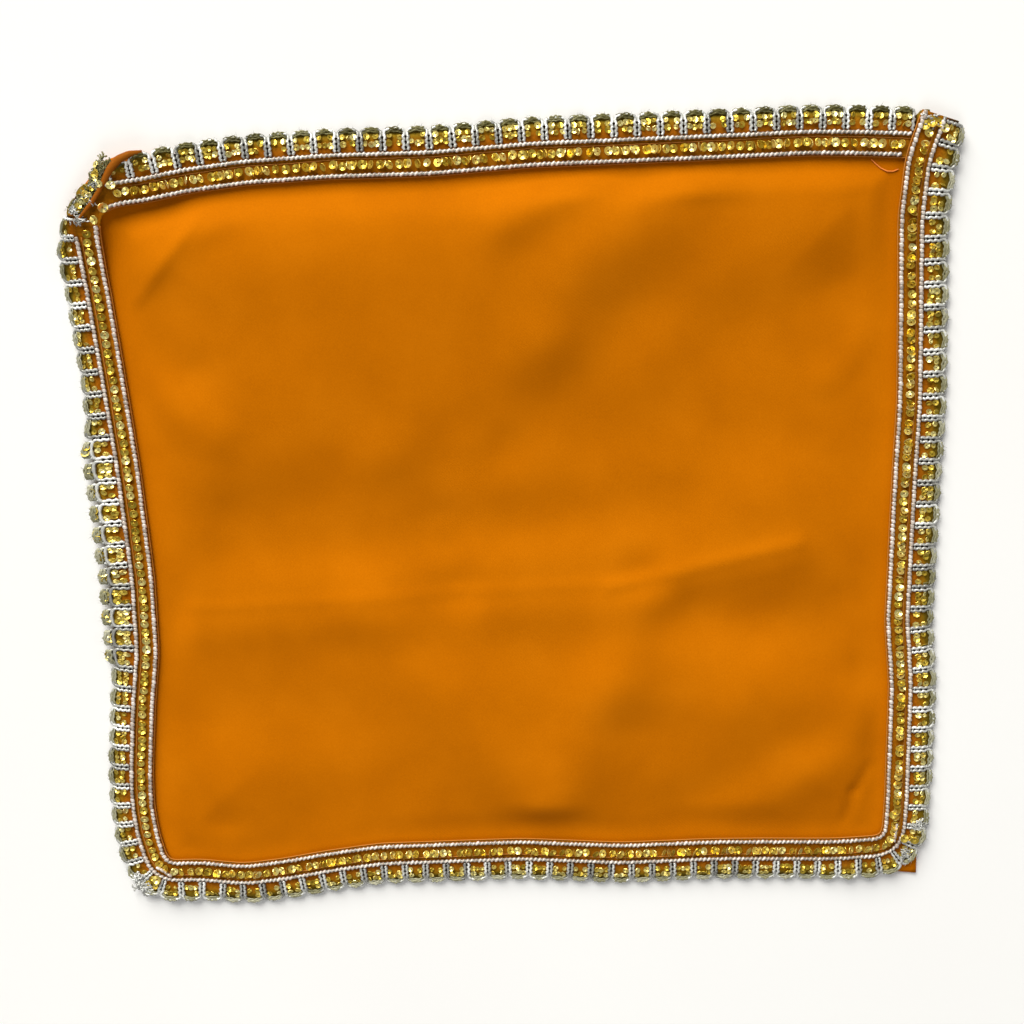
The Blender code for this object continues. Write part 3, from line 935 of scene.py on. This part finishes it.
def loop_line(chance, shoulder, tip):
    """The middle line of one silver loop: a wavering leg out, round the tip and back in."""
    half = SCALLOP_PITCH / 2.0
    outs = np.arange(LEG_ROOT_OUT, shoulder, LEG_STEP)
    legs = []
    for sign in (-1.0, 1.0):
        wave = np.cos(2.0 * math.pi * (outs - LEG_ROOT_OUT) / LEG_WAVE + chance.uniform(-0.5, 0.5))
        inset = LEG_CLOSE + (LEG_OPEN - LEG_CLOSE) * (0.5 - 0.5 * wave)
        height = LOOP_OVER + chance.uniform(-0.1, 0.12, len(outs))
        legs.append(np.column_stack([sign * (half - inset), outs, height]))
    angles = np.linspace(math.pi, 0.0, ARCH_STEPS)
    width = half - LEG_CLOSE
    lean = chance.uniform(-0.3, 0.3)
    arch = np.column_stack([
        width * np.cos(angles) + lean * np.sin(angles),
        shoulder + (tip - shoulder) * np.sin(angles) ** ARCH_SQUARENESS,
        LOOP_OVER + chance.uniform(-0.08, 0.08, ARCH_STEPS)])
    return np.vstack([legs[0], arch, legs[1][::-1]])


def beaded(line, chance):
    """Radii that swell and draw in along a line, as yarn that is looped round itself."""
    wave = np.sin(2.0 * math.pi * distance_along(line) / SWELL_PITCH + chance.uniform(0, 6))
    return YARN_RADIUS * (SWELL_MEAN + SWELL_SIZE * wave)


def loop(shape, chance, number):
    """A silver loop, or past the fourth one a shorter loop with a second one round its cap."""
    double = number >= DOUBLE_LOOPS_FROM
    shoulder = DOUBLE_SHOULDER_OUT if double else LEG_SHOULDER_OUT
    tip = DOUBLE_TIP_OUT if double else LOOP_TIP_OUT
    line = loop_line(chance, shoulder, tip)
    add_tube(shape, line, beaded(line, chance), 5)
    if double:
        angles = np.linspace(math.pi, 0.0, ARCH_STEPS)
        outer = np.column_stack([
            (SCALLOP_PITCH / 2.0 - OUTER_INSET) * np.cos(angles),
            OUTER_FOOT_OUT + OUTER_RISE * np.sin(angles),
            OUTER_OVER + chance.uniform(-0.1, 0.1, ARCH_STEPS)])
        add_tube(shape, outer, beaded(outer, chance) * OUTER_YARN_SHARE, 5)


# Yarn wrapped over the loops' ends, row by row, (foot out, rise of the arc, radius)
CAP_ROWS = ((13.8, 0.4, 0.28), (14.2, 0.5, 0.32), (14.6, 0.5, 0.32), (14.9, 0.6, 0.3),
            (14.5, 0.6, 0.26))
CAP_HALF_WIDTH = 2.9
CAP_OVER = 0.75
CAP_BULGE = 0.35
CAP_POINTS = 9
CAP_SHAPES = 4


def cap(shape, chance, number):
    """Rows of yarn wrapped across the end of one cell."""
    for foot, rise, radius in CAP_ROWS:
        across = np.linspace(-1.0, 1.0, CAP_POINTS)
        arc = 1.0 - across ** 2
        line = np.column_stack([
            across * CAP_HALF_WIDTH,
            foot + rise * arc + chance.uniform(-0.24, 0.24, CAP_POINTS),
            CAP_OVER + CAP_BULGE * arc + chance.uniform(-0.2, 0.2, CAP_POINTS)])
        add_tube(shape, line, radius * chance.uniform(0.75, 1.3, CAP_POINTS), 5)


HAIR_RADIUS = 0.085
HAIRS_PER_CELL = 9
HAIR_SHAPES = 6
HAIR_ROOT_OUT = 15.4
HAIR_ROOT_DROP = 1.3


def hair(shape, chance, number):
    """One loose end of metallised yarn, curved and drawn out to a point."""
    length = chance.uniform(0.8, 1.7)
    curl = chance.uniform(-0.5, 0.5)
    share = np.linspace(0.0, 1.0, 4)
    line = np.column_stack([curl * share ** 2 * length, share * length, 0.25 * share])
    add_tube(shape, line, HAIR_RADIUS * (1.15 - share), 3)


THREAD_END_LENGTH = 2.2
THREAD_END_SHAPES = 5


def thread_end(shape, chance, number):
    """A short wavering end of yarn, about its own middle."""
    share = np.linspace(-0.5, 0.5, 6)
    line = np.column_stack([share * THREAD_END_LENGTH, chance.uniform(-0.6, 0.6, 6),
                            chance.uniform(-0.3, 0.3, 6)])
    add_tube(shape, line, chance.uniform(0.22, 0.36, 6), 4)


def long_tube(name, slot, out, over, radius, step, sides, finish, start, gap, sway=0.0, seed=1):
    """A thread along the lace in two runs with a gap between them, swaying from side to side."""
    chance = np.random.default_rng(seed)
    shape = bmesh.new()
    for first, last in ((start, gap[0]), (gap[1], LACE_LENGTH)):
        along = np.arange(first, last, step)
        noise = averaged(chance.normal(0.0, 1.0, len(along)), 9) * sway
        line = np.column_stack([along, out + noise, np.full_like(along, over)])
        add_tube(shape, line, radius, sides)
    hand_over(laid_object(name, shape, on_lace, finish), slot)


def grid_sheet(name, points, columns, thickness, finish, uv=None):
    """A thin sheet whose top is a grid laid on points, in rows of that many columns."""
    shape = bmesh.new()
    rows = len(points) // columns
    bmesh.ops.create_grid(shape, x_segments=columns - 1, y_segments=rows - 1, size=1.0)
    for corner, point in zip(shape.verts, points):
        corner.co = point
    if uv is not None:
        layer = shape.loops.layers.uv.new("lace")
        shape.verts.index_update()
        for face in shape.faces:
            for corner in face.loops:
                corner[layer].uv = uv[corner.vert.index]
    item = mesh_object(name, mesh_of(name, shape, finish))
    wall = item.modifiers.new("Thickness", "SOLIDIFY")
    wall.thickness = thickness * MM
    wall.offset = -1.0
    return item


def edge_points(rows, shares):
    points = np.array(rows, float)
    along = distance_along(points)
    return np.column_stack([np.interp(shares * along[-1], along, points[:, k]) for k in (0, 1)])


def over_table(height):
    """The height of the satin's top, eased so that it never dips into the table."""
    least = SATIN_THICKNESS + LEAST_AIR
    spare = height - least
    return least + (spare + np.sqrt(spare ** 2 + TABLE_EASE)) / 2.0


def satin_top(x, y):
    """The height of the satin's top over the table."""
    top = over_table(folds_height(x, y) + crease_rise(x, y) + CLOTH_THICKNESS)
    return top + pinch_rise(x, y)


def make_cloth(settings):
    """The satin square, on the part's own folds, with its finer creases."""
    columns, rows = (round(side / CLOTH_GRID) for side in CLOTH_SIZE)
    across, down = np.linspace(0, 1, columns + 1), np.linspace(1, 0, rows + 1)
    far, near = edge_points(CLOTH_FAR, across), edge_points(CLOTH_NEAR, across)
    left, right = edge_points(CLOTH_LEFT, down), edge_points(CLOTH_RIGHT, down)
    u, v = across[None, :, None], down[:, None, None]
    between_sides = left[:, None] * (1 - u) + right[:, None] * u
    between_ends = far[None] * (1 - v) + near[None] * v
    corners = ((far[0] * (1 - u) + far[-1] * u) * (1 - v) + (near[0] * (1 - u) + near[-1] * u) * v)
    plan = between_sides + between_ends - corners
    x, y = plan[..., 0], plan[..., 1]
    points = placed(x, y, satin_top(x, y))
    item = grid_sheet("satin_cloth", points, columns + 1, SATIN_THICKNESS, satin(settings))
    hand_over(item, "satin", "cloth_panel")
    return item


def make_ground():
    """The lace's ribbon ground, with a lobe under each cell along its outer edge."""
    along = np.arange(0.0, LACE_LENGTH + GROUND_STEP, GROUND_STEP)
    along[-1] = LACE_LENGTH
    share = np.mod((along - SCALLOP_START) / SCALLOP_PITCH, 1.0) - 0.5
    lobe = LOBE_OUT * np.sqrt(np.clip(1.0 - (share / LOBE_HALF_SHARE) ** 2, 0.0, 1.0))
    steps = np.arange(1, LOBE_ROWS + 1) / LOBE_ROWS
    inner = np.array(GROUND_OUT)[None, :] + 0 * along[:, None]
    outer = GROUND_OUT[-1] + 0.05 * steps[None, :] + lobe[:, None] * steps[None, :]
    out = np.hstack([inner, outer])
    columns = out.shape[1]
    flat = np.column_stack([np.repeat(along, columns), out.ravel(), np.zeros(out.size)])
    uv = np.column_stack([(flat[:, 0] - SCALLOP_START) / SCALLOP_PITCH, flat[:, 1] / GROUND_UV])
    item = grid_sheet("lace_ground", on_lace(flat), columns, GROUND_THICKNESS, lace_ground(), uv)
    hand_over(item, "tape", "lace_tape")
    return item


# Where the cords start, and where the pinched corner hides the trim, in the lace's measure
INNER_START = 8.8
OUTER_START = 6.0
INNER_GAP = (287.5, 303.5)
SEQUIN_GAP = (280.0, 305.5)
OUTER_GAP = (279.0, 309.0)

CORD_OVER = PIECE_GAP + CORD_RADIUS

# How far the turns of the cords slant, in degrees, and below which slant they are square
SLANTS = (("far", -36.0), ("left", -14.0), ("near", -36.0), ("right", -14.0))
SQUARE_GRAIN_SLANT = 25.0


def by_side(rows, along):
    """A value of each side, passing softly from one to the next round the corners."""
    return sum(read_route("on " + side, along) * value for side, value in rows)


def make_cord(name, node, out, start, gap, settings, seed):
    """A twisted silver cord, turn by turn, over a core of the same yarn."""
    places, along = evenly_along(out, settings.cord_turn / MM, start, gap)
    count = len(along)
    slant = by_side(SLANTS, along)
    chance = np.random.default_rng(seed)
    points = np.column_stack([places, out + chance.normal(0, 0.05, count),
                              np.full(count, CORD_OVER)])
    repeat_on_lace(
        name, "silver_cord", points, shape_set("grain", grain, len(GRAINS), seed), SILVER_CORD,
        nodes=[node], turns=about_z(np.radians(slant)),
        picks=(np.abs(slant) < SQUARE_GRAIN_SLANT).astype(int), spread=(6, 6, 9),
        sizes=(0.9, 1.08), seed=seed, measured_at=out)
    long_tube(name + "_core", "silver_cord", out, CORD_OVER, CORD_CORE, 1.5, 6,
              toned(SILVER_LOOP), start, gap)


# How far the sequins lean over along the lace, in degrees
LEAST_LEANS = (("far", 10), ("left", 4), ("near", 14), ("right", 14))
MOST_LEANS = (("far", 52), ("left", 20), ("near", 56), ("right", 52))
PAIRED_SHARE = 0.6
SEQUIN_START = 7.2
SEQUIN_LIFT = 0.35

# Sequins that stand on edge between the others, away from the left side
EDGE_SEQUIN_SHARE = 0.62
EDGE_SEQUIN_LEAN = (58.0, 76.0)


def make_sequins(settings):
    """The row of round sequins between the cords, lying over one another at odd angles."""
    pitch = settings.sequin_pitch / MM
    places, along = evenly_along(SEQUIN_OUT, pitch, SEQUIN_START, SEQUIN_GAP)
    chance = np.random.default_rng(21)
    low, high = by_side(LEAST_LEANS, along), by_side(MOST_LEANS, along)
    lean = low + (high - low) * chance.random(len(along))
    left = read_route("on left", along)
    on_edge = chance.random(len(along)) < EDGE_SEQUIN_SHARE * (1.0 - left)
    places = np.concatenate([places, places[on_edge] + pitch / 2.0])
    lean = np.radians(np.concatenate([lean, chance.uniform(*EDGE_SEQUIN_LEAN, on_edge.sum())]))
    count = len(places)
    points = np.column_stack([
        places + chance.normal(0, 0.1, count), SEQUIN_OUT + chance.normal(0, 0.12, count),
        SEQUIN_LIFT + SEQUIN_RADIUS * 0.8 * np.sin(lean)])
    paired = np.where(np.arange(count) % 2, -1.0, 1.0)
    sign = np.where(chance.random(count) < PAIRED_SHARE, paired, 1.0)
    repeat_on_lace(
        "sequins", "gold_sequin", points, shape_set("sequin", sequin, 1, 5, False), GOLD_FILM,
        nodes=["sequin_row"], turns=np.column_stack([0.0 * lean, sign * lean, 0.0 * lean]),
        spread=(10, 3, 25), sizes=(0.95, 1.06), seed=8, measured_at=SEQUIN_OUT)


def at_cells(middles):
    """A point for each cell, at its middle on the inner cord's line."""
    return np.column_stack([middles, np.zeros((len(middles), 2))])


# Where the cells are crumpled, and how much further than usual a cap laid flat reaches
CRUMPLED_CELLS = (274.5, 301.0)
FLAT_CAP_EXTRA = 1.6


def open_cells():
    """The middles of the cells that aren't crumpled at the pinched corner."""
    middles = cell_middles()
    return middles[(middles < CRUMPLED_CELLS[0]) | (middles > CRUMPLED_CELLS[1])]


def make_loops():
    """The silver yarn worked in a loop round each cell."""
    middles = open_cells()
    count = len(middles)
    chance = np.random.default_rng(31)
    flat = read_route("extra", middles) > FLAT_CAP_EXTRA
    picks = np.where(flat, chance.integers(DOUBLE_LOOPS_FROM, LOOP_SHAPES, count),
                     chance.integers(0, DOUBLE_LOOPS_FROM, count))
    repeat_on_lace(
        "silver_loops", "silver_cord", at_cells(middles), shape_set("loop", loop, LOOP_SHAPES, 32),
        SILVER_LOOP, nodes=["scallop_cord"], picks=picks, seed=33)


# Rows of small cups in each cell, (real distance out, most in a row)
BEAD_ROWS = ((10.3, 3), (12.6, 3))
BEAD_SPREAD = 1.7
BEAD_MISSING = 0.08
ONE_BEAD_LESS = 0.45
BEAD_OUT_LIMIT = 14.2
FLAT_BEAD_REACH = 17.0


def make_beads():
    """Two rows of small gold cups in each cell, and one in each cap that lies flat."""
    chance = np.random.default_rng(41)
    rows = []
    for middle in open_cells():
        for reach, most in BEAD_ROWS:
            count = most - (chance.random() < ONE_BEAD_LESS)
            for place in np.linspace(-BEAD_SPREAD, BEAD_SPREAD, count):
                out = out_for_reach(middle, reach)
                if chance.random() > BEAD_MISSING and out < BEAD_OUT_LIMIT:
                    rows.append((middle + place, out, 0.5))
        if read_route("extra", middle) > FLAT_CAP_EXTRA:
            for place in (-1.0, 1.0):
                rows.append((middle + place, out_for_reach(middle, FLAT_BEAD_REACH), 0.7))
    points = np.array(rows)
    points += chance.normal(0, (0.14, 0.16, 0.05), points.shape)
    turns = np.radians(chance.normal(0, (16, 22, 40), points.shape))
    repeat_on_lace(
        "cell_beads", "gold_sequin", points, shape_set("bead", bead, 1, 6, False), GOLD_FILM,
        turns=turns, sizes=(0.82, 1.1), seed=43)


# Painted shade of the wrapped yarn on each side, darkest on the far side
PAINTED_CAP_SHADES = (("far", 0.0), ("left", 0.5), ("near", 0.42), ("right", 0.42))


def painted_cap_shade(along):
    """The painted shade of the wrapped yarn on each stretch."""
    return by_side(PAINTED_CAP_SHADES, along)


def make_caps():
    """The yarn wrapped over the end of each cell."""
    middles = open_cells()
    chance = np.random.default_rng(51)
    repeat_on_lace(
        "cell_caps", "gold_sequin", at_cells(middles), shape_set("cap", cap, CAP_SHAPES, 52),
        CAP_YARN, picks=chance.integers(0, CAP_SHAPES, len(middles)), seed=53, shade=painted_cap_shade)


def make_hairs():
    """Loose ends of yarn that stand out from the caps and soften the outline."""
    chance = np.random.default_rng(61)
    middles = np.repeat(cell_middles(), HAIRS_PER_CELL)
    count = len(middles)
    across = chance.uniform(-1.0, 1.0, count)
    points = np.column_stack([
        middles + across * CAP_HALF_WIDTH,
        HAIR_ROOT_OUT - HAIR_ROOT_DROP * across ** 2 + chance.normal(0, 0.15, count),
        chance.uniform(0.2, 0.8, count)])
    turns = np.column_stack([
        np.radians(chance.uniform(-15, 45, count)), np.zeros(count),
        np.radians(-across * 45 + chance.normal(0, 25, count))])
    repeat_on_lace(
        "loose_hairs", "silver_cord", points, shape_set("hair", hair, HAIR_SHAPES, 62),
        SILVER_LOOP, turns=turns, picks=chance.integers(0, HAIR_SHAPES, count), seed=63)


# Threads along the lace, (name, out, over, gap, sway, seed)
THREAD_RADIUS = 0.24
THREADS = (
    ("outer_thread", 5.35, 0.22, OUTER_GAP, 0.3, 71),
    ("inner_selvedge", -1.05, 0.1, INNER_GAP, 0.08, 72),
)


def make_threads():
    """The thread beside the outer cord, and the ribbon's inner selvedge."""
    finish = toned(ORANGE_THREAD)
    for name, out, over, gap, sway, seed in THREADS:
        long_tube(name, "tape", out, over, THREAD_RADIUS, 1.6, 5, finish, 0.0, gap, sway, seed)


# The pinched corner's folded edge and the loose thread, in plan, (x, y, half width)
FOLDED_EDGE = (
    (-119.6, 130.4, 0.5), (-124.0, 130.2, 1.2), (-127.6, 128.6, 1.7), (-130.6, 125.4, 1.4),
    (-132.8, 121.4, 0.9), (-134.6, 117.8, 0.8), (-137.2, 114.6, 0.9), (-140.4, 111.4, 0.7),
    (-143.0, 108.6, 0.3),
)
LOOSE_THREAD = (
    (125.9, 119.2, 0.2), (127.2, 117.8, 0.24), (129.0, 115.9, 0.24), (131.2, 114.6, 0.24),
    (133.6, 114.6, 0.24), (135.2, 115.6, 0.2),
)
FOLDED_EDGE_OVER = 1.5
LOOSE_THREAD_OVER = 0.35

# The crumpled trim: its threads and cups, their share of the folded edge, how far past it
CRUMPLED_THREADS = 170
CRUMPLED_CUPS = 16
CRUMPLED_RUN = (0.32, 0.97)
CRUMPLED_PAST = (0.9, 5.0)
CRUMPLED_CUPS_OVER = 0.7

# Knots of silver yarn at the corners, in the lace's own measures, (along, out, count)
KNOTS = (
    (553.0, 14.6, 60), (549.5, 13.6, 30), (301.5, 5.4, 22), (297.5, 9.5, 22), (283.5, 9.6, 24),
    (290.5, 5.6, 14), (843.5, 12.0, 22), (856.0, 12.5, 18), (1110.5, 3.0, 16),
)
KNOT_SPREAD = (1.25, 1.25, 0.35)
KNOT_OVER = 0.9

# Pieces of trim that lie loose or doubled at a corner, in plan, (x, y, turn in degrees)
LOOSE_OVER = 0.9
LOOSE_GRAINS = (
    (139.9, -124.9, 88), (139.8, -126.4, 86), (139.6, -127.9, 92), (139.4, -129.4, 88),
    (139.2, -130.9, 90), (-138.2, -132.8, -32), (-136.8, -133.7, -30), (-135.4, -134.8, -38),
    (-134.2, -135.8, -34), (142.2, 132.6, 60), (142.9, 133.9, 20),
)
LOOSE_SEQUINS = (
    (142.7, -130.2, 20), (146.7, -131.0, 60), (-139.1, -137.4, 30), (145.2, 131.4, 10),
    (143.4, 129.8, 70), (147.4, 130.4, 40), (149.6, 128.6, 90), (138.5, -120.4, 45),
    (-130.6, 119.6, 20), (-134.2, 112.6, 80), (-137.2, 108.6, 50),
)


def plan_tube(name, rows, heights, sides, flatten, finish):
    """A smooth tube through rows of (x, y, half width) in plan, at the given heights."""
    rows = np.array(rows)
    share = np.linspace(0, len(rows) - 1, 4 * len(rows))
    x, y, width = (np.interp(share, np.arange(len(rows)), averaged(column, 3))
                   for column in rows.T)
    over = np.interp(share, np.arange(len(rows)), heights)
    shape = bmesh.new()
    add_tube(shape, np.column_stack([x, y, over]), width, sides, flatten)
    item = laid_object(name, shape, lambda corners: placed(*corners.T), toned(finish))
    hand_over(item, "tape")


def make_corner_pieces():
    """The folded edge across the pinched corner, and the loose thread at the far right one."""
    x, y, _ = np.array(FOLDED_EDGE).T
    edge_top = ground_top(x, y) + FOLDED_EDGE_OVER
    plan_tube("folded_edge", FOLDED_EDGE, edge_top, 8, 0.55, FOLDED_RIBBON)
    x, y, _ = np.array(LOOSE_THREAD).T
    thread_top = satin_top(x, y) + LOOSE_THREAD_OVER
    plan_tube("loose_thread", LOOSE_THREAD, thread_top, 5, 1.0, BRIGHT_THREAD)


def crumpled_places(chance, count):
    """Places past the folded edge, in plan."""
    x, y, _ = np.array(FOLDED_EDGE).T
    share = chance.uniform(*CRUMPLED_RUN, count) * (len(x) - 1)
    past = chance.uniform(*CRUMPLED_PAST, count)
    index = np.arange(len(x))
    away_x, away_y = np.gradient(y), -np.gradient(x)
    length = np.hypot(away_x, away_y)
    return np.column_stack([
        np.interp(share, index, x) + past * np.interp(share, index, away_x / length),
        np.interp(share, index, y) + past * np.interp(share, index, away_y / length),
        chance.uniform(0.1, 1.0, count)])


def yarn_ends(name, slot, points, chance, seed, finish, **how):
    """Short ends of yarn on points, turned any way."""
    count = len(points)
    turns = about_z(chance.uniform(0, 2 * math.pi, count))
    repeat_on_lace(
        name, slot, points, shape_set("thread end", thread_end, THREAD_END_SHAPES, seed), finish,
        turns=turns, picks=chance.integers(0, THREAD_END_SHAPES, count), spread=(25, 25, 0),
        seed=seed + 1, **how)


def loose_pieces(name, slot, rows, shapes, finish, **how):
    """Single pieces of trim from a table of their places in plan and their turns."""
    rows = np.array(rows, float)
    points = np.column_stack([rows[:, :2], np.full(len(rows), CORD_OVER + LOOSE_OVER)])
    repeat_on_lace(name, slot, points, shapes, finish, turns=about_z(np.radians(rows[:, 2])),
                   lay=on_corner, **how)


def make_loose_trim():
    """The crumpled trim past the pinched corner's edge, and the doubled bits at the others."""
    chance = np.random.default_rng(81)
    threads = crumpled_places(chance, CRUMPLED_THREADS)
    # Painted shade: all the crumpled yarn is made dark, as trim lying in shade past the folded edge
    yarn_ends("crumpled_threads", "gold_sequin", threads, chance, 82, CAP_YARN,
              shade=lambda along: np.full(len(along), 0.1), lay=on_corner)
    knots = np.array([row[:2] + (KNOT_OVER,) for row in KNOTS for _ in range(row[2])])
    knots = knots + chance.normal(0.0, KNOT_SPREAD, knots.shape)
    yarn_ends("silver_knots", "silver_cord", knots, chance, 87, SILVER_LOOP)
    cups = crumpled_places(chance, CRUMPLED_CUPS) + (0, 0, CRUMPLED_CUPS_OVER)
    repeat_on_lace(
        "crumpled_cups", "gold_sequin", cups, shape_set("bead", bead, 1, 6, False), GOLD_FILM,
        spread=(40, 40, 90), sizes=(0.8, 1.2), seed=84, lay=on_corner)
    loose_pieces("loose_grains", "silver_cord", LOOSE_GRAINS, shape_set("grain", grain, 1, 85),
                 SILVER_CORD, spread=(8, 8, 14), sizes=(0.9, 1.1), seed=85)
    loose_pieces("loose_sequins", "gold_sequin", LOOSE_SEQUINS,
                 shape_set("sequin", sequin, 1, 86, False), GOLD_FILM,
                 spread=(24, 24, 90), sizes=(1.0, 1.2), seed=86)


def make_floor(settings):
    shape = bmesh.new()
    bmesh.ops.create_grid(shape, x_segments=4, y_segments=4, size=settings.floor_size / 2.0)
    mesh_object("floor", mesh_of("floor", shape, floor_board(), smooth=False))


# The lights, (name, place, width in metres, colour), whose powers are settings
LIGHTS = (
    ("key", (-1.40, 3.84, 2.50), 3.4, "#FFFDF8"),
    ("side", (1.05, 0.30, 1.05), 0.5, "#FFFDF8"),
    ("fill", (-0.10, -0.75, 0.95), 0.8, "#FFFFFF"),
)


def add_light(name, place, width, power, colour):
    """A square soft light that points at the middle of the cover."""
    data = bpy.data.lights.new(name, "AREA")
    data.size = width
    data.energy = power
    data.color = linear(colour)[:3]
    item = bpy.data.objects.new(name, data)
    bpy.context.scene.collection.objects.link(item)
    item.location = place
    height = place[2]
    flat = math.hypot(place[0], place[1])
    item.rotation_euler = (math.atan2(flat, height), 0.0, math.atan2(place[0], -place[1]))


def add_camera(settings):
    """The camera above the cover, a little towards its far edge, as the picture was taken."""
    tilt, yaw, distance = settings.camera_tilt, settings.camera_yaw, settings.camera_distance
    reach = distance * math.sin(tilt)
    data = bpy.data.cameras.new("camera")
    data.sensor_width = 36.0
    data.lens = settings.camera_lens
    item = bpy.data.objects.new("camera", data)
    bpy.context.scene.collection.objects.link(item)
    item.location = (-math.sin(yaw) * reach - CENTRE[0] * MM,
                     math.cos(yaw) * reach - CENTRE[1] * MM, distance * math.cos(tilt))
    item.rotation_euler = (-tilt, 0.0, yaw)
    bpy.context.scene.camera = item


def make_world(settings):
    """Even light all round, and a pale backdrop where the camera sees past the floor."""
    world = bpy.data.worlds.new("studio")
    world.use_nodes = True
    tree = world.node_tree
    light = tree.nodes["Background"]
    light.inputs["Color"].default_value = linear("#F4F6FA")
    light.inputs["Strength"].default_value = settings.world_strength
    backdrop = add_node(tree, "ShaderNodeBackground", {"Color": linear("#F6F5F3")})
    seen = add_node(tree, "ShaderNodeLightPath").outputs["Is Camera Ray"]
    both = add_node(tree, "ShaderNodeMixShader", {
        0: seen, 1: light.outputs[0], 2: backdrop.outputs[0]})
    tree.links.new(both.outputs[0], tree.nodes["World Output"].inputs["Surface"])
    bpy.context.scene.world = world


class ThaliClothSettings(bpy.types.PropertyGroup):
    weave_pitch: FloatProperty(
        name="Weave pitch", description="Distance between the drawn threads of the satin",
        default=0.6 * MM, subtype="DISTANCE", unit="LENGTH")


class ThaliLaceSettings(bpy.types.PropertyGroup):
    cord_turn: FloatProperty(
        name="Cord turn", description="Distance between the turns of the twisted cords",
        default=1.6 * MM, subtype="DISTANCE", unit="LENGTH")
    sequin_pitch: FloatProperty(
        name="Sequin pitch", description="Distance between the sequins of the row",
        default=3.2 * MM, subtype="DISTANCE", unit="LENGTH")


class ThaliStageSettings(bpy.types.PropertyGroup):
    floor_size: FloatProperty(
        name="Floor size", description="Side of the square floor",
        default=4.0, subtype="DISTANCE", unit="LENGTH")
    camera_distance: FloatProperty(
        name="Camera distance", description="Distance from the camera to the cover",
        default=0.560, subtype="DISTANCE", unit="LENGTH")
    camera_tilt: FloatProperty(
        name="Camera tilt", description="Angle of the camera off straight down",
        default=math.radians(14.0), subtype="ANGLE", unit="ROTATION")
    camera_yaw: FloatProperty(
        name="Camera turn", description="Turn of the camera about its own line",
        default=math.radians(-2.0), subtype="ANGLE", unit="ROTATION")
    camera_lens: FloatProperty(
        name="Lens", description="Focal length in millimetres", default=54.88)
    key_power: FloatProperty(
        name="Key light", description="Power of the large light past the far edge",
        default=395.0, subtype="POWER", unit="POWER")
    side_power: FloatProperty(
        name="Side light", description="Power of the small light past the right edge",
        default=1.6, subtype="POWER", unit="POWER")
    fill_power: FloatProperty(
        name="Fill light", description="Power of the light from the near side",
        default=3.4, subtype="POWER", unit="POWER")
    world_strength: FloatProperty(
        name="World strength", description="Brightness of the even light all round", default=0.12)


class THALI_OT_stage(bpy.types.Operator):
    """Makes the floor, the lights and the camera"""
    bl_idname = "thali.stage"
    bl_label = "Stage"

    def execute(self, context):
        settings = context.scene.thali_stage
        make_floor(settings)
        for name, place, width, colour in LIGHTS:
            add_light(name, place, width, getattr(settings, name + "_power"), colour)
        make_world(settings)
        add_camera(settings)
        context.scene.view_settings.view_transform = "Standard"
        return {"FINISHED"}


class THALI_OT_cloth(bpy.types.Operator):
    """Makes the satin square and the ribbon ground of its lace"""
    bl_idname = "thali.cloth"
    bl_label = "Satin and ribbon"

    def execute(self, context):
        cloth = make_cloth(context.scene.thali_cloth)
        ground = make_ground()
        return {"FINISHED"}


class THALI_OT_cords(bpy.types.Operator):
    """Makes the two twisted silver cords and the threads beside them"""
    bl_idname = "thali.cords"
    bl_label = "Cords and threads"

    def execute(self, context):
        settings = context.scene.thali_lace
        make_cord("inner_twist", "inner_cord", INNER_CORD_OUT, INNER_START, INNER_GAP, settings, 11)
        make_cord("outer_twist", "outer_cord", OUTER_CORD_OUT, OUTER_START, OUTER_GAP, settings, 12)
        make_threads()
        make_corner_pieces()
        return {"FINISHED"}


class THALI_OT_sequins(bpy.types.Operator):
    """Makes the row of gold sequins between the cords"""
    bl_idname = "thali.sequins"
    bl_label = "Sequins"

    def execute(self, context):
        make_sequins(context.scene.thali_lace)
        return {"FINISHED"}


class THALI_OT_cells(bpy.types.Operator):
    """Makes the loops, cups, caps, hairs and loose bits of the scalloped edge"""
    bl_idname = "thali.cells"
    bl_label = "Scalloped edge"

    def execute(self, context):
        make_loops()
        make_beads()
        make_caps()
        make_hairs()
        make_loose_trim()
        return {"FINISHED"}


class THALI_PT_panel(bpy.types.Panel):
    """Lists the pieces of the cover and their sizes"""
    bl_idname = "THALI_PT_panel"
    bl_label = "Thali cover"
    bl_space_type = "VIEW_3D"
    bl_region_type = "UI"
    bl_category = "Thali cover"

    def draw(self, context):
        for name in ("thali_cloth", "thali_lace", "thali_stage"):
            group = getattr(context.scene, name)
            for label in group.bl_rna.properties.keys():
                if label not in ("rna_type", "name"):
                    self.layout.prop(group, label)
        for operator in OPERATORS:
            self.layout.operator(operator.bl_idname)


OPERATORS = (THALI_OT_stage, THALI_OT_cloth, THALI_OT_cords, THALI_OT_sequins, THALI_OT_cells)
GROUPS = (
    ("thali_cloth", ThaliClothSettings),
    ("thali_lace", ThaliLaceSettings),
    ("thali_stage", ThaliStageSettings),
)
CLASSES = tuple(group for _, group in GROUPS) + OPERATORS + (THALI_PT_panel,)


def register():
    for item in CLASSES:
        bpy.utils.register_class(item)
    for name, group in GROUPS:
        setattr(bpy.types.Scene, name, PointerProperty(type=group))


def unregister():
    for name, _ in GROUPS:
        delattr(bpy.types.Scene, name)
    for item in reversed(CLASSES):
        bpy.utils.unregister_class(item)


def main():
    register()
    bpy.ops.thali.stage()
    bpy.ops.thali.cloth()
    bpy.ops.thali.cords()
    bpy.ops.thali.sequins()
    bpy.ops.thali.cells()


if __name__ == "__main__":
    main()
